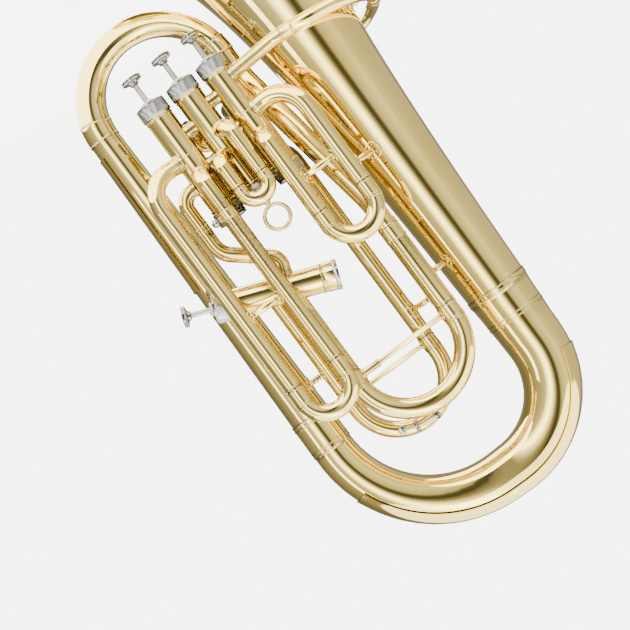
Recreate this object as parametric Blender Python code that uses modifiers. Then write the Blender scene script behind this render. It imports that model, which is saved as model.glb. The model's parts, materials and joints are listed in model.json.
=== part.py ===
"""A compensating tenor tuba (euphonium): three top valves and a side fourth valve.

It stands on its bell rim. +Z runs from the bell rim to the bottom bow, +X from the
bell to the outer branch, and -Y is the valve side. Metres throughout.
"""

import math

import bmesh
import bpy
from mathutils import Matrix, Vector

# Main plane: the bell's axis is BELL_X, and every other x below is measured from it.
BELL_X = -0.0575
BRANCH_X = 0.2173
BELL_RIM_R = 0.145
BELL_TAIL_R = 0.0318
BELL_TAIL_Z = 0.4837
BELL_FLARE_POWER = 0.51
BELL_WALL = 0.0012
BELL_BRACE_Z = (0.3131, 0.4374)
RIM_WIDTH = 0.005
RIM_HEIGHT = 0.004
BOW_SPRING_Z = 0.517
BOW_CROWN_Z = 0.6357
BOW_BELL_BEND = 0.087
BOW_BRANCH_BEND = 0.116
BOW_BELL_R = 0.0299
BOW_BRANCH_R = 0.0206
BRANCH_FERRULE_Z = 0.479
BRANCH_TOP_R = 0.0152
BOW_GUARD_FROM_Z = 0.565
BRANCH_GUARD_Z = (0.165, 0.320)
TOP_BOW_R = 0.070
TOP_BOW_SPRING_Z = 0.150
TOP_BOW_END_Z = 0.153
INNER_TOP_R = 0.0118

# Layers in depth, from the main plane (y = 0) towards the valve side.
BACK_Y = -0.008
VALVE_Y = -0.036
FRONT_Y = -0.062

# Valves: 3, 2 and 1 stand in line; the side valve lies across them.
VALVE_X = {1: 0.0944, 2: 0.1285, 3: 0.1626}
VALVE_TOP_Z = 0.162
VALVE_LENGTH = 0.118
SIDE_VALVE_LENGTH = 0.106
SIDE_VALVE_TOP = (0.2206, VALVE_Y, 0.3463)
SIDE_VALVE_SLOPE = math.radians(20.8)
CASING_R = 0.0135
CASING_WALL = 0.0012
CAP_R = 0.0150
CAP_PLATE = 0.008
CAP_SKIRT = 0.006
PISTON_LENGTH = 0.075
STEM_R = 0.0026
STEM_OUT = 0.030
BUTTON_R = 0.0103
BUTTON_HEIGHT = 0.008

# Slides: x of the two legs, depth, tube radius, stop height and height of the bend's centre.
SLIDES = {
    "main_slide": (0.0514, 0.1617, VALVE_Y, 0.0102, 0.4680, 0.4808),
    "slide_1": (0.0472, 0.0953, FRONT_Y, 0.00865, 0.3315, 0.3449),
    "slide_2": (0.1159, 0.1421, FRONT_Y, 0.0075, 0.2690, 0.2752),
    "slide_3": (0.1640, 0.2110, FRONT_Y, 0.0084, 0.4470, 0.4629),
    "slide_4": (0.0827, 0.1766, BACK_Y, 0.0082, 0.4830, 0.5009),
}
SLIDE_WALL = 0.0012
LEG_IN = {"main_slide": 0.058, "slide_1": 0.050, "slide_2": 0.019, "slide_3": 0.060, "slide_4": 0.055}
KNUCKLE_BEND = 0.012
SWEEP_BEND = 0.030
SIDE_PORT_BEND = 0.014

# Sleeves that end in a top valve: the valve's x, the port's height and the bend before it.
SLEEVE_ROUTES = {
    ("slide_1", "near"): (VALVE_X[1], 0.2160, SWEEP_BEND),
    ("slide_1", "far"): (VALVE_X[1], 0.2426, KNUCKLE_BEND),
    ("slide_2", "near"): (VALVE_X[2], 0.2144, KNUCKLE_BEND),
    ("slide_2", "far"): (VALVE_X[2], 0.2365, KNUCKLE_BEND),
    ("slide_3", "near"): (VALVE_X[3], 0.2380, KNUCKLE_BEND),
    ("slide_3", "far"): (VALVE_X[3], 0.2160, SWEEP_BEND),
    ("slide_4", "near"): (VALVE_X[1], 0.2640, KNUCKLE_BEND),
}

# Turned braces: rod radius, flange radii and heights.
BRACE_ROD_R = 0.0025
BELL_FLANGE_R = 0.0075
BRANCH_FLANGE_R = (0.0080, 0.0070)
BRANCH_BRACE_Z = (0.4178, 0.4546)
SLIDE_BRACE_ROD_R = 0.0021
SLIDE_BRACE_FLANGE_R = 0.0045
SLIDE_BRACE_Z = {"main_slide": 0.4755, "slide_4": 0.4885}

GAP = 0.0003
MERGE = 0.0001
TUBE_SIDES = 8
SEAT = CASING_R + GAP
TUBE_WALL = 0.0010
BOW_WALL = 0.0012

BRASS = ("lacquered_brass", (0.80, 0.62, 0.28), 0.22, 1.0)
NICKEL = ("nickel_silver", (0.72, 0.70, 0.66), 0.24, 1.0)
STEEL = ("spring_steel", (0.55, 0.55, 0.57), 0.35, 1.0)

for old in list(bpy.data.objects):
    bpy.data.objects.remove(old)
PARTS = bpy.data.collections.new("tenor_tuba")
CUTTERS = bpy.data.collections.new("cutters")
bpy.context.scene.collection.children.link(PARTS)
bpy.context.scene.collection.children.link(CUTTERS)
CUTTERS.hide_render = True


def at(x, y, z):
    """A point whose x is measured from the bell's axis."""
    return Vector((BELL_X + x, y, z))


def finish_material(finish):
    name, colour, roughness, metallic = finish
    material = bpy.data.materials.get(name) or bpy.data.materials.new(name)
    material.use_nodes = True
    shader = material.node_tree.nodes["Principled BSDF"]
    shader.inputs["Base Color"].default_value = (*colour, 1)
    shader.inputs["Roughness"].default_value = roughness
    shader.inputs["Metallic"].default_value = metallic
    return material


def place(name, data, finish, matrix=None, collection=PARTS):
    piece = bpy.data.objects.new(name, data)
    piece.matrix_world = matrix or Matrix()
    data.materials.append(finish_material(finish))
    collection.objects.link(piece)
    return piece


def bent(corners, bends, steps=4):
    """A centre line through the corners, each inner one turned with its bend radius."""
    line = [Vector(corners[0])]
    for before, corner, after, bend in zip(corners, corners[1:], corners[2:], bends):
        corner = Vector(corner)
        back = (Vector(before) - corner).normalized()
        ahead = (Vector(after) - corner).normalized()
        half = back.angle(ahead) / 2
        start = corner + back * (bend / math.tan(half))
        centre = corner + (back + ahead).normalized() * (bend / math.sin(half))
        axis = back.cross(ahead).normalized()
        for step in range(steps + 1):
            turn = Matrix.Rotation(-(math.pi - 2 * half) * step / steps, 3, axis)
            line.append(centre + turn @ (start - centre))
    line.append(Vector(corners[-1]))
    return [p for i, p in enumerate(line) if i == 0 or (p - line[i - 1]).length > 1e-5]


def tapered(line, first_r, last_r):
    """One radius for each point, changing evenly along the line."""
    runs = [0.0]
    for before, after in zip(line, line[1:]):
        runs.append(runs[-1] + (after - before).length)
    return [first_r + (last_r - first_r) * run / runs[-1] for run in runs]


def swept(name, line, radii, finish, wall=0.0, sides=TUBE_SIDES, origin=None):
    """A round bar along the line, or a tube open at both ends where it has a wall."""
    origin = origin or line[0]
    curve = bpy.data.curves.new(name, "CURVE")
    curve.dimensions = "3D"
    curve.fill_mode = "FULL"
    curve.bevel_depth = 1.0
    curve.bevel_resolution = (sides - 4) // 2
    curve.use_fill_caps = not wall
    spline = curve.splines.new("POLY")
    spline.points.add(len(line) - 1)
    for point, place_at, radius in zip(spline.points, line, radii):
        point.co = (*(place_at - origin), 1)
        point.radius = radius
    piece = place(name, curve, finish, Matrix.Translation(origin))
    if wall:
        shell = piece.modifiers.new("wall", "SOLIDIFY")
        shell.thickness = wall
        shell.offset = -1
    return piece


def turned(name, profile, finish, matrix=None, sides=24, ring=False, collection=PARTS):
    """A profile of (radius, height) spun round its own Z; a ring's profile is closed."""
    mesh = bpy.data.meshes.new(name)
    edges = [(i, i + 1) for i in range(len(profile) - 1)]
    if ring:
        edges.append((len(profile) - 1, 0))
    mesh.from_pydata([(r, 0, z) for r, z in profile], edges, [])
    piece = place(name, mesh, finish, matrix, collection)
    spin = piece.modifiers.new("spin", "SCREW")
    spin.steps = sides
    spin.render_steps = sides
    spin.use_merge_vertices = True
    spin.merge_threshold = MERGE
    spin.use_smooth_shade = True
    return piece


def spindle(name, start, end, rod_r, flange_r, finish=BRASS):
    """A turned brace: a rod between two round flanges, each short of its tube by GAP."""
    along = (end - start).normalized()
    flange = 0.0015
    neck = 0.004
    stops = [
        (start, flange_r),
        (start + along * flange, flange_r),
        (start + along * neck, rod_r),
        (end - along * neck, rod_r),
        (end - along * flange, flange_r),
        (end, flange_r),
    ]
    return swept(name, [p for p, _ in stops], [r for _, r in stops], finish, sides=8)


# The bell: r = rim radius * (s / (z + s)) ** power, with s set by the tail's radius.
flare_ratio = (BELL_RIM_R / BELL_TAIL_R) ** (1 / BELL_FLARE_POWER)
FLARE_SHIFT = BELL_TAIL_Z / (flare_ratio - 1)


def bell_r(z):
    return BELL_RIM_R * (FLARE_SHIFT / (z + FLARE_SHIFT)) ** BELL_FLARE_POWER


def bell():
    rings = 9
    heights = [BELL_TAIL_Z * (i / rings) ** 1.9 for i in range(rings + 1)][1:]
    heights = sorted(heights + list(BELL_BRACE_Z))
    outer = [(bell_r(z), z) for z in reversed(heights) if z > RIM_HEIGHT]
    rim = [(BELL_RIM_R, RIM_HEIGHT), (BELL_RIM_R, 0), (BELL_RIM_R - RIM_WIDTH, 0)]
    inner = [(r - BELL_WALL * (1.6 if r > 0.09 else 1.0), z) for r, z in reversed(outer)]
    turned("bell", outer + rim + inner, BRASS, Matrix.Translation(at(0, 0, 0)), 32, ring=True)


def bow_arc(steps):
    """The bow's centre line, tighter on the bell's side, and how far along it each point is."""
    corners = [
        at(0, 0, BOW_SPRING_Z),
        at(0, 0, BOW_CROWN_Z),
        at(BRANCH_X, 0, BOW_CROWN_Z),
        at(BRANCH_X, 0, BOW_SPRING_Z - 0.003),
    ]
    line = bent(corners, [BOW_BELL_BEND, BOW_BRANCH_BEND], steps)
    runs = [0.0]
    for before, after in zip(line, line[1:]):
        runs.append(runs[-1] + (after - before).length)
    return line, [run / runs[-1] for run in runs]


def bow_r(share):
    return BOW_BELL_R + (BOW_BRANCH_R - BOW_BELL_R) * share


def bottom_bow():
    """The bottom bow with its two soldered ferrules, from the bell's tail to the outer branch."""
    bead = 0.0012
    bell_end = BELL_TAIL_Z + GAP
    bell_side = [
        (bell_end, BELL_TAIL_R + bead),
        (bell_end + 0.005, BELL_TAIL_R + bead),
        (bell_end + 0.006, BELL_TAIL_R),
        (BOW_SPRING_Z - 0.007, BOW_BELL_R + bead / 2),
        (BOW_SPRING_Z - 0.006, BOW_BELL_R + bead),
        (BOW_SPRING_Z - 0.001, BOW_BELL_R + bead),
    ]
    branch_side = [
        (BOW_SPRING_Z - 0.004, BOW_BRANCH_R + bead),
        (BOW_SPRING_Z - 0.009, BOW_BRANCH_R + bead),
        (BOW_SPRING_Z - 0.010, BOW_BRANCH_R),
        (BRANCH_FERRULE_Z + 0.006, BOW_BRANCH_R),
        (BRANCH_FERRULE_Z + 0.005, BOW_BRANCH_R + bead),
        (BRANCH_FERRULE_Z, BOW_BRANCH_R + bead),
    ]
    arc, shares = bow_arc(7)
    line = [at(0, 0, z) for z, _ in bell_side] + arc
    line += [at(BRANCH_X, 0, z) for z, _ in branch_side]
    radii = [r for _, r in bell_side]
    radii += [bow_r(share) for share in shares]
    radii += [r for _, r in branch_side]
    swept("bottom_bow", line, radii, BRASS, wall=BOW_WALL, sides=12)


def shell_strip(name, centres, radii, outward, spread, finish=BRASS, wall=0.0008, across=6):
    """A guard: an open strip that lies on the outer side of a tube, given a wall."""
    lift = 0.0006
    mesh = bpy.data.meshes.new(name)
    grid = bmesh.new()
    rows = []
    for centre, radius, out in zip(centres, radii, outward):
        row = []
        for i in range(across + 1):
            angle = spread * (2 * i / across - 1)
            side = Vector((0, 1, 0)) * math.sin(angle)
            row.append(grid.verts.new(centre + (out * math.cos(angle) + side) * (radius + lift)))
        rows.append(row)
    for low, high in zip(rows, rows[1:]):
        for i in range(across):
            grid.faces.new((low[i], low[i + 1], high[i + 1], high[i]))
    bmesh.ops.recalc_face_normals(grid, faces=grid.faces)
    middle = grid.faces[len(grid.faces) // 2]
    middle.normal_update()
    if middle.normal.dot(outward[len(outward) // 2]) < 0:
        bmesh.ops.reverse_faces(grid, faces=grid.faces)
    grid.to_mesh(mesh)
    grid.free()
    piece = place(name, mesh, finish)
    shell = piece.modifiers.new("wall", "SOLIDIFY")
    shell.thickness = wall
    shell.offset = 1
    return piece


def guards():
    """The bow guard on the bottom bow, and the hand guard along the outer branch."""
    line, shares = bow_arc(8)
    rows = [i for i, point in enumerate(line) if point.z > BOW_GUARD_FROM_Z]
    chords = [(line[i + 1] - line[i - 1]).normalized() for i in rows]
    outward = [Vector((-chord.z, 0, chord.x)) for chord in chords]
    # Room for the corners of the bow's own facets between the strip's rows.
    facet_room = 0.0012
    radii = [bow_r(shares[i]) + facet_room for i in rows]
    shell_strip("bow_guard", [line[i] for i in rows], radii, outward, math.radians(62))
    low, high = BRANCH_GUARD_Z
    heights = [low + (high - low) * i / 6 for i in range(7)]
    shell_strip(
        "branch_guard",
        [at(BRANCH_X, 0, z) for z in heights],
        [branch_r(z) for z in heights],
        [Vector((1, 0, 0))] * len(heights),
        math.radians(48),
    )


def branch_r(z):
    """The outer branch widens evenly from the top bow to its ferrule."""
    top, foot = TOP_BOW_SPRING_Z, BRANCH_FERRULE_Z
    return BRANCH_TOP_R + (BOW_BRANCH_R - 0.0003 - BRANCH_TOP_R) * (z - top) / (foot - top)


def branches():
    heights = [BRANCH_FERRULE_Z - GAP, TOP_BOW_END_Z + GAP]
    line = [at(BRANCH_X, 0, z) for z in heights]
    swept("outer_branch", line, [branch_r(z) for z in heights], BRASS, BOW_WALL, 12)
    inner_x = BRANCH_X - 2 * TOP_BOW_R
    crown_z = TOP_BOW_SPRING_Z - TOP_BOW_R
    corners = [
        at(BRANCH_X, 0, TOP_BOW_END_Z),
        at(BRANCH_X, 0, crown_z),
        at(inner_x, 0, crown_z),
        at(inner_x, 0, TOP_BOW_END_Z),
    ]
    line = bent(corners, [TOP_BOW_R] * 2, 5)
    swept("top_bow", line, tapered(line, BRANCH_TOP_R, INNER_TOP_R), BRASS, BOW_WALL, 12)
    sleeve_x, _, sleeve_y, sleeve_r, _, _ = SLIDES["main_slide"]
    corners = [
        at(inner_x, 0, TOP_BOW_END_Z + GAP),
        at(inner_x, 0, 0.168),
        at(sleeve_x, sleeve_y, 0.350),
        at(sleeve_x, sleeve_y, 0.374),
    ]
    line = bent(corners, [0.060, 0.060], 3)
    swept("inner_branch", line, tapered(line, INNER_TOP_R, sleeve_r), BRASS, BOW_WALL)


def valve(number, frame, length):
    """One piston valve in its own frame: the casing runs from z = 0 to its length."""
    inner_r = CASING_R - CASING_WALL
    casing = [(CASING_R, length), (CASING_R, 0), (inner_r, 0), (inner_r, length)]
    turned(f"valve_casing_{number}", casing, BRASS, frame, 16, ring=True)
    skirt_r = CASING_R + GAP
    upside_down = Matrix.Translation((0, 0, length)) @ Matrix.Rotation(math.pi, 4, "X")
    for name, hole_r, flip in (
        (f"top_cap_{number}", STEM_R + 0.0009, Matrix()),
        (f"bottom_cap_{number}", 0.003, upside_down),
    ):
        cap = [
            (CAP_R, CAP_SKIRT),
            (CAP_R, 0.0015 - CAP_PLATE),
            (CAP_R - 0.0015, -CAP_PLATE),
            (hole_r, -CAP_PLATE),
            (hole_r, -GAP),
            (skirt_r, -GAP),
            (skirt_r, CAP_SKIRT),
        ]
        turned(name, cap, NICKEL, frame @ flip, 16, ring=True)
    top = 0.0025
    foot = top + PISTON_LENGTH
    piston_r = inner_r - GAP
    piston = [
        (0, foot),
        (piston_r, foot),
        (piston_r, top),
        (STEM_R * 1.8, top),
        (STEM_R, top - GAP * 8),
        (STEM_R, -STEM_OUT),
        (0, -STEM_OUT),
    ]
    turned(f"piston_{number}", piston, NICKEL, frame, 16)
    button_foot = -STEM_OUT - GAP
    button = [
        (0, button_foot),
        (BUTTON_R * 0.45, button_foot),
        (BUTTON_R * 0.50, button_foot - 0.0030),
        (BUTTON_R, button_foot - 0.0042),
        (BUTTON_R, button_foot - 0.0066),
        (BUTTON_R * 0.86, button_foot - BUTTON_HEIGHT),
        (0, button_foot - BUTTON_HEIGHT + 0.0008),
    ]
    turned(f"button_{number}", button, NICKEL, frame, 12)
    wire_r = 0.0007
    coil_r = 0.0090
    turns = 4
    per_turn = 6
    low = foot + GAP * 2 + wire_r
    high = length - GAP * 2 - wire_r
    count = turns * per_turn
    coil = []
    for i in range(count + 1):
        angle = 2 * math.pi * i / per_turn
        height = low + (high - low) * i / count
        coil.append(frame @ Vector((coil_r * math.cos(angle), coil_r * math.sin(angle), height)))
    swept(f"valve_spring_{number}", coil, [wire_r] * len(coil), STEEL, sides=6, origin=frame.translation)


def valves():
    for number, x in VALVE_X.items():
        valve(number, Matrix.Translation(at(x, VALVE_Y, VALVE_TOP_Z)), VALVE_LENGTH)
    lean = Matrix.Rotation(SIDE_VALVE_SLOPE - math.pi / 2, 4, "Y")
    valve(4, Matrix.Translation(at(*SIDE_VALVE_TOP)) @ lean, SIDE_VALVE_LENGTH)


def slide_bow(name):
    """A sliding U: thin legs inside the sleeves, then full-size tube round the bend."""
    near_x, far_x, y, tube_r, stop_z, bend_z = SLIDES[name]
    bend_r = (far_x - near_x) / 2
    middle_x = (far_x + near_x) / 2
    leg_r = tube_r - SLIDE_WALL - GAP
    step = tube_r - leg_r
    leg = [(stop_z - LEG_IN[name], leg_r), (stop_z, leg_r), (stop_z + step, tube_r)]
    steps = 8
    arc = [math.pi * i / steps for i in range(steps + 1)]
    line = [at(near_x, y, z) for z, _ in leg]
    line += [at(middle_x - bend_r * math.cos(a), y, bend_z + bend_r * math.sin(a)) for a in arc]
    line += [at(far_x, y, z) for z, _ in reversed(leg)]
    legs = [r for _, r in leg]
    radii = legs + [tube_r] * len(arc) + legs[::-1]
    return swept(name, line, radii, BRASS, TUBE_WALL, origin=at(near_x, y, stop_z))


def sleeve(name, corners, bends, tube_r):
    line = bent(corners, bends)
    swept(name, line, [tube_r] * len(line), BRASS, SLIDE_WALL)


def toward(valve_x, x, y, distance):
    """The point that far from a valve's axis, on the line from it to (x, y)."""
    aim = Vector((x - valve_x, y - VALVE_Y)).normalized() * distance
    return valve_x + aim.x, VALVE_Y + aim.y


def sleeves():
    """The fixed outer tubes that the slides run in, from each slide's stop to a valve."""
    for (name, side), (valve_x, port_z, bend) in SLEEVE_ROUTES.items():
        near_x, far_x, y, tube_r, stop_z, _ = SLIDES[name]
        x = near_x if side == "near" else far_x
        port_x, port_y = toward(valve_x, x, y, SEAT)
        corners = [at(x, y, stop_z - GAP), at(x, y, port_z), at(port_x, port_y, port_z)]
        sleeve(f"{name}_sleeve_{side}", corners, [bend], tube_r)
    _, far_x, y, tube_r, stop_z, _ = SLIDES["slide_4"]
    side_z = side_valve_z(far_x)
    corners = [at(far_x, y, stop_z - GAP), at(far_x, y, side_z), at(far_x, VALVE_Y + SEAT, side_z)]
    sleeve("slide_4_sleeve_far", corners, [SIDE_PORT_BEND], tube_r)
    near_x, far_x, y, tube_r, stop_z, _ = SLIDES["main_slide"]
    sleeve("main_slide_sleeve_near", [at(near_x, y, 0.3743), at(near_x, y, stop_z - GAP)], [], tube_r)
    rise = (CASING_R + tube_r * math.sin(SIDE_VALVE_SLOPE)) / math.cos(SIDE_VALVE_SLOPE)
    lowest = side_valve_z(far_x) + rise
    sleeve("main_slide_sleeve_far", [at(far_x, y, lowest + 0.001), at(far_x, y, stop_z - GAP)], [], tube_r)


def side_valve_z(x):
    """Height of the side valve's axis at this x."""
    top_x, _, top_z = SIDE_VALVE_TOP
    return top_z + (top_x - x) * math.tan(SIDE_VALVE_SLOPE)


def transfer_tube():
    """From the third valve's side to the side valve's underside, square to its casing."""
    tube_r = 0.0072
    leg_x = 0.1925
    axis_x = 0.1600
    square = Vector((math.sin(SIDE_VALVE_SLOPE), 0, math.cos(SIDE_VALVE_SLOPE)))
    port = at(axis_x, VALVE_Y, side_valve_z(axis_x)) - square * (SEAT + GAP)
    corners = [
        at(VALVE_X[3] + SEAT, VALVE_Y, 0.2430),
        at(leg_x, VALVE_Y, 0.2430),
        at(leg_x, VALVE_Y, 0.3060),
        port - square * 0.016,
        port,
    ]
    line = bent(corners, [0.0140, 0.022, 0.013])
    swept("transfer_tube", line, [tube_r] * len(line), BRASS, TUBE_WALL)


def compensating_loop():
    """The back loop that joins the third valve to the first, behind the second."""
    tube_r = 0.0062
    back_y = 0.004
    port_z = 0.200
    crown_z = 0.262
    corners = [
        at(VALVE_X[3], VALVE_Y + SEAT, port_z),
        at(VALVE_X[3], back_y, port_z),
        at(VALVE_X[3], back_y, crown_z),
        at(VALVE_X[1] + 0.012, back_y, crown_z),
        at(VALVE_X[1] + 0.012, back_y, port_z),
        at(*toward(VALVE_X[1], VALVE_X[1] + 0.012, back_y, SEAT), port_z),
    ]
    line = bent(corners, [0.012, 0.022, 0.022, 0.012])
    swept("compensating_loop", line, [tube_r] * len(line), BRASS, TUBE_WALL)


def leadpipe():
    """From the first valve round the bell's far side to the receiver at the back."""
    wrap_r = 0.070
    low_z = 0.178
    high_z = 0.205
    first = math.radians(-58)
    last = math.radians(-250)
    steps = 15
    port_x, port_y = toward(VALVE_X[1], 0.045, -0.058, SEAT)
    line = [at(port_x, port_y, low_z)]
    for i in range(steps + 1):
        angle = first + (last - first) * i / steps
        z = low_z + (high_z - low_z) * i / steps
        line.append(at(wrap_r * math.cos(angle), wrap_r * math.sin(angle), z))
    along = Vector((math.sin(last), -math.cos(last), 0))
    line.append(line[-1] + along * 0.024)
    radii = tapered(line, 0.0068, 0.0058)
    swept("leadpipe", line, radii, BRASS, TUBE_WALL)
    return line[-1], along


def mouthpiece(start, along):
    """The receiver, and the mouthpiece whose shank sits in it."""
    turn = along.to_track_quat("Z", "Y").to_matrix().to_4x4()
    frame = Matrix.Translation(start + along * GAP) @ turn
    length = 0.048
    bore_r = 0.0064
    outer_r = 0.0082
    receiver = [
        (outer_r + 0.0008, length),
        (outer_r + 0.0008, length - 0.005),
        (outer_r, length - 0.006),
        (outer_r, 0.004),
        (0.0070, 0),
        (0.0048, 0),
        (bore_r, 0.006),
        (bore_r, length),
    ]
    turned("mouthpiece_receiver", receiver, NICKEL, frame, 12, ring=True)
    seat = length - 0.022
    shank_r = bore_r - GAP
    tip = length + 0.068
    outer = [
        (0.0190, tip),
        (0.0198, tip - 0.003),
        (0.0176, tip - 0.008),
        (0.0165, tip - 0.018),
        (0.0110, tip - 0.032),
        (0.0068, tip - 0.042),
        (0.0062, length + 0.004),
        (shank_r, length + 0.002),
        (shank_r, seat),
    ]
    inner = [
        (0.0040, seat),
        (0.0032, tip - 0.036),
        (0.0095, tip - 0.022),
        (0.0125, tip - 0.008),
        (0.0135, tip),
    ]
    turned("mouthpiece", outer + inner, NICKEL, frame, 12, ring=True)


def united(name, pieces, finish, origin):
    """The pieces' evaluated meshes joined into one object by Boolean union."""
    base = pieces[0]
    for other in pieces[1:]:
        join = base.modifiers.new("join", "BOOLEAN")
        join.operation = "UNION"
        join.object = other
    bpy.context.view_layer.update()
    graph = bpy.context.evaluated_depsgraph_get()
    mesh = bpy.data.meshes.new_from_object(base.evaluated_get(graph))
    mesh.transform(Matrix.Translation(-origin) @ base.matrix_world)
    for piece in pieces:
        bpy.data.objects.remove(piece)
    mesh.materials.clear()
    place(name, mesh, finish, Matrix.Translation(origin))


def cutter(name, matrix, build):
    """A closed helper solid that joins another piece, kept out of the model."""
    mesh = bpy.data.meshes.new(name)
    solid = bmesh.new()
    build(solid)
    solid.to_mesh(mesh)
    solid.free()
    piece = bpy.data.objects.new(name, mesh)
    piece.matrix_world = matrix
    piece.display_type = "WIRE"
    CUTTERS.objects.link(piece)
    return piece


def bar(name, start, end, radius, sides=12):
    """A plain round bar between two points, as a helper solid."""
    along = end - start
    matrix = Matrix.Translation((start + end) / 2) @ along.to_track_quat("Z", "Y").to_matrix().to_4x4()
    return cutter(
        name,
        matrix,
        lambda solid: bmesh.ops.create_cone(
            solid, cap_ends=True, segments=sides, radius1=radius, radius2=radius, depth=along.length
        ),
    )


def pull_ring():
    """The ring and its short post, soldered to the second slide's bend."""
    near_x, far_x, y, tube_r, _, bend_z = SLIDES["slide_2"]
    wire_r = 0.0013
    ring_r = 0.0125
    post = 0.0032
    x = (near_x + far_x) / 2
    crown_z = bend_z + (far_x - near_x) / 2 + tube_r
    centre = at(x, y, crown_z + post + ring_r)
    profile = [
        (ring_r + wire_r * math.cos(a), wire_r * math.sin(a))
        for a in [-2 * math.pi * i / 6 for i in range(6)]
    ]
    stand = Matrix.Translation(centre) @ Matrix.Rotation(math.pi / 2, 4, "X")
    ring = turned("ring_blank", profile, BRASS, stand, 22, ring=True, collection=CUTTERS)
    foot = bar("post_blank", at(x, y, crown_z + GAP), at(x, y, crown_z + post), wire_r * 1.5)
    united("pull_ring", [ring, foot], BRASS, centre)


def water_key():
    """A rocking lever on the fourth slide's bend: pad, pivot barrel and thumb end."""
    near_x, far_x, y, tube_r, _, bend_z = SLIDES["slide_4"]
    bend_r = (far_x - near_x) / 2
    middle = at((near_x + far_x) / 2, 0, bend_z)
    lever_y = y - tube_r - 0.0048

    def on_bend(degrees, reach=0.0, depth=lever_y):
        angle = math.radians(degrees)
        around = Vector((math.cos(angle), 0, math.sin(angle))) * (bend_r + reach)
        return Vector((middle.x + around.x, depth, middle.z + around.z))

    pad, pivot, thumb = on_bend(59), on_bend(77), on_bend(103, 0.003)
    lever = bar("lever_blank", pad, pivot, 0.0013)
    tail = bar("tail_blank", pivot, thumb, 0.0015)
    cup = bar("cup_blank", on_bend(59, 0, y - tube_r - GAP), on_bend(59, 0, lever_y - 0.001), 0.0042)
    across = Vector((math.cos(math.radians(77)), 0, math.sin(math.radians(77)))) * 0.004
    barrel = bar("barrel_blank", pivot - across, pivot + across, 0.0021)
    united("water_key", [lever, tail, cup, barrel], NICKEL, pivot)


def small_pieces():
    pull_ring()
    water_key()
    near_x, _, y, tube_r, _, _ = SLIDES["slide_3"]
    screw_z = 0.2832
    start = at(near_x + tube_r + GAP, y, screw_z)
    along = Vector((1, 0, 0))
    stops = [
        (0, 0.0014),
        (0.0030, 0.0014),
        (0.0035, 0.0026),
        (0.0050, 0.0036),
        (0.0070, 0.0036),
        (0.0085, 0.0022),
    ]
    swept("thumb_screw", [start + along * d for d, _ in stops], [r for _, r in stops], NICKEL, sides=12)


def side_brace(name, height, slide, flange_r):
    """From the outer branch to a slide's far sleeve, square to both."""
    _, far_x, y, tube_r, _, _ = SLIDES[slide]
    aim = Vector((far_x - BRANCH_X, y, 0)).normalized()
    start = at(BRANCH_X, 0, height) + aim * (branch_r(height) + GAP + 0.0005)
    spindle(name, start, at(far_x, y, height) - aim * (tube_r + GAP), BRACE_ROD_R, flange_r)


def braces():
    """Turned braces between neighbouring tubes, in the order that they hold the body."""
    slide_x, _, y, tube_r, _, _ = SLIDES["slide_1"]
    z = BELL_BRACE_Z[0]
    bell_aim = Vector((0.0199, -0.0344, 0)).normalized()
    bell_point = bell_aim * (bell_r(z) + 0.0016)
    from_tube = Vector((bell_point.x - slide_x, bell_point.y - y, 0)).normalized() * (tube_r + GAP)
    start = at(slide_x + from_tube.x, y + from_tube.y, z)
    spindle("bell_brace_upper", start, at(bell_point.x, bell_point.y, z), BRACE_ROD_R, BELL_FLANGE_R)
    main_x, _, main_y, main_r, _, _ = SLIDES["main_slide"]
    z = BELL_BRACE_Z[1]
    centre = Vector((main_x, main_y, 0))
    start = centre - centre.normalized() * (main_r + GAP)
    end = centre.normalized() * (bell_r(z) + 0.0014)
    spindle("bell_brace_lower", at(start.x, start.y, z), at(end.x, end.y, z), BRACE_ROD_R, BELL_FLANGE_R)
    side_brace("branch_brace_front", BRANCH_BRACE_Z[0], "slide_3", BRANCH_FLANGE_R[0])
    side_brace("branch_brace_back", BRANCH_BRACE_Z[1], "slide_4", BRANCH_FLANGE_R[1])
    for slide, height in SLIDE_BRACE_Z.items():
        near_x, far_x, y, tube_r, _, _ = SLIDES[slide]
        inset = tube_r + GAP
        start, end = at(near_x + inset, y, height), at(far_x - inset, y, height)
        spindle(f"{slide}_brace", start, end, SLIDE_BRACE_ROD_R, SLIDE_BRACE_FLANGE_R)


bell()
bottom_bow()
guards()
branches()
valves()
for slide_name in SLIDES:
    slide_bow(slide_name)
sleeves()
transfer_tube()
compensating_loop()
pipe_end, pipe_along = leadpipe()
mouthpiece(pipe_end, pipe_along)
small_pieces()
braces()
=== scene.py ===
# %% [markdown]
# # A compensating tenor tuba, standing on its bell
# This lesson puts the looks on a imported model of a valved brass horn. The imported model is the
# frame: it says where each piece is and which moving body it belongs to. Every visible piece
# below is a finer one that stands for a plain piece of that frame, so each size is first read
# from the frame's boxes and only small decoration has sizes of its own.

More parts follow.
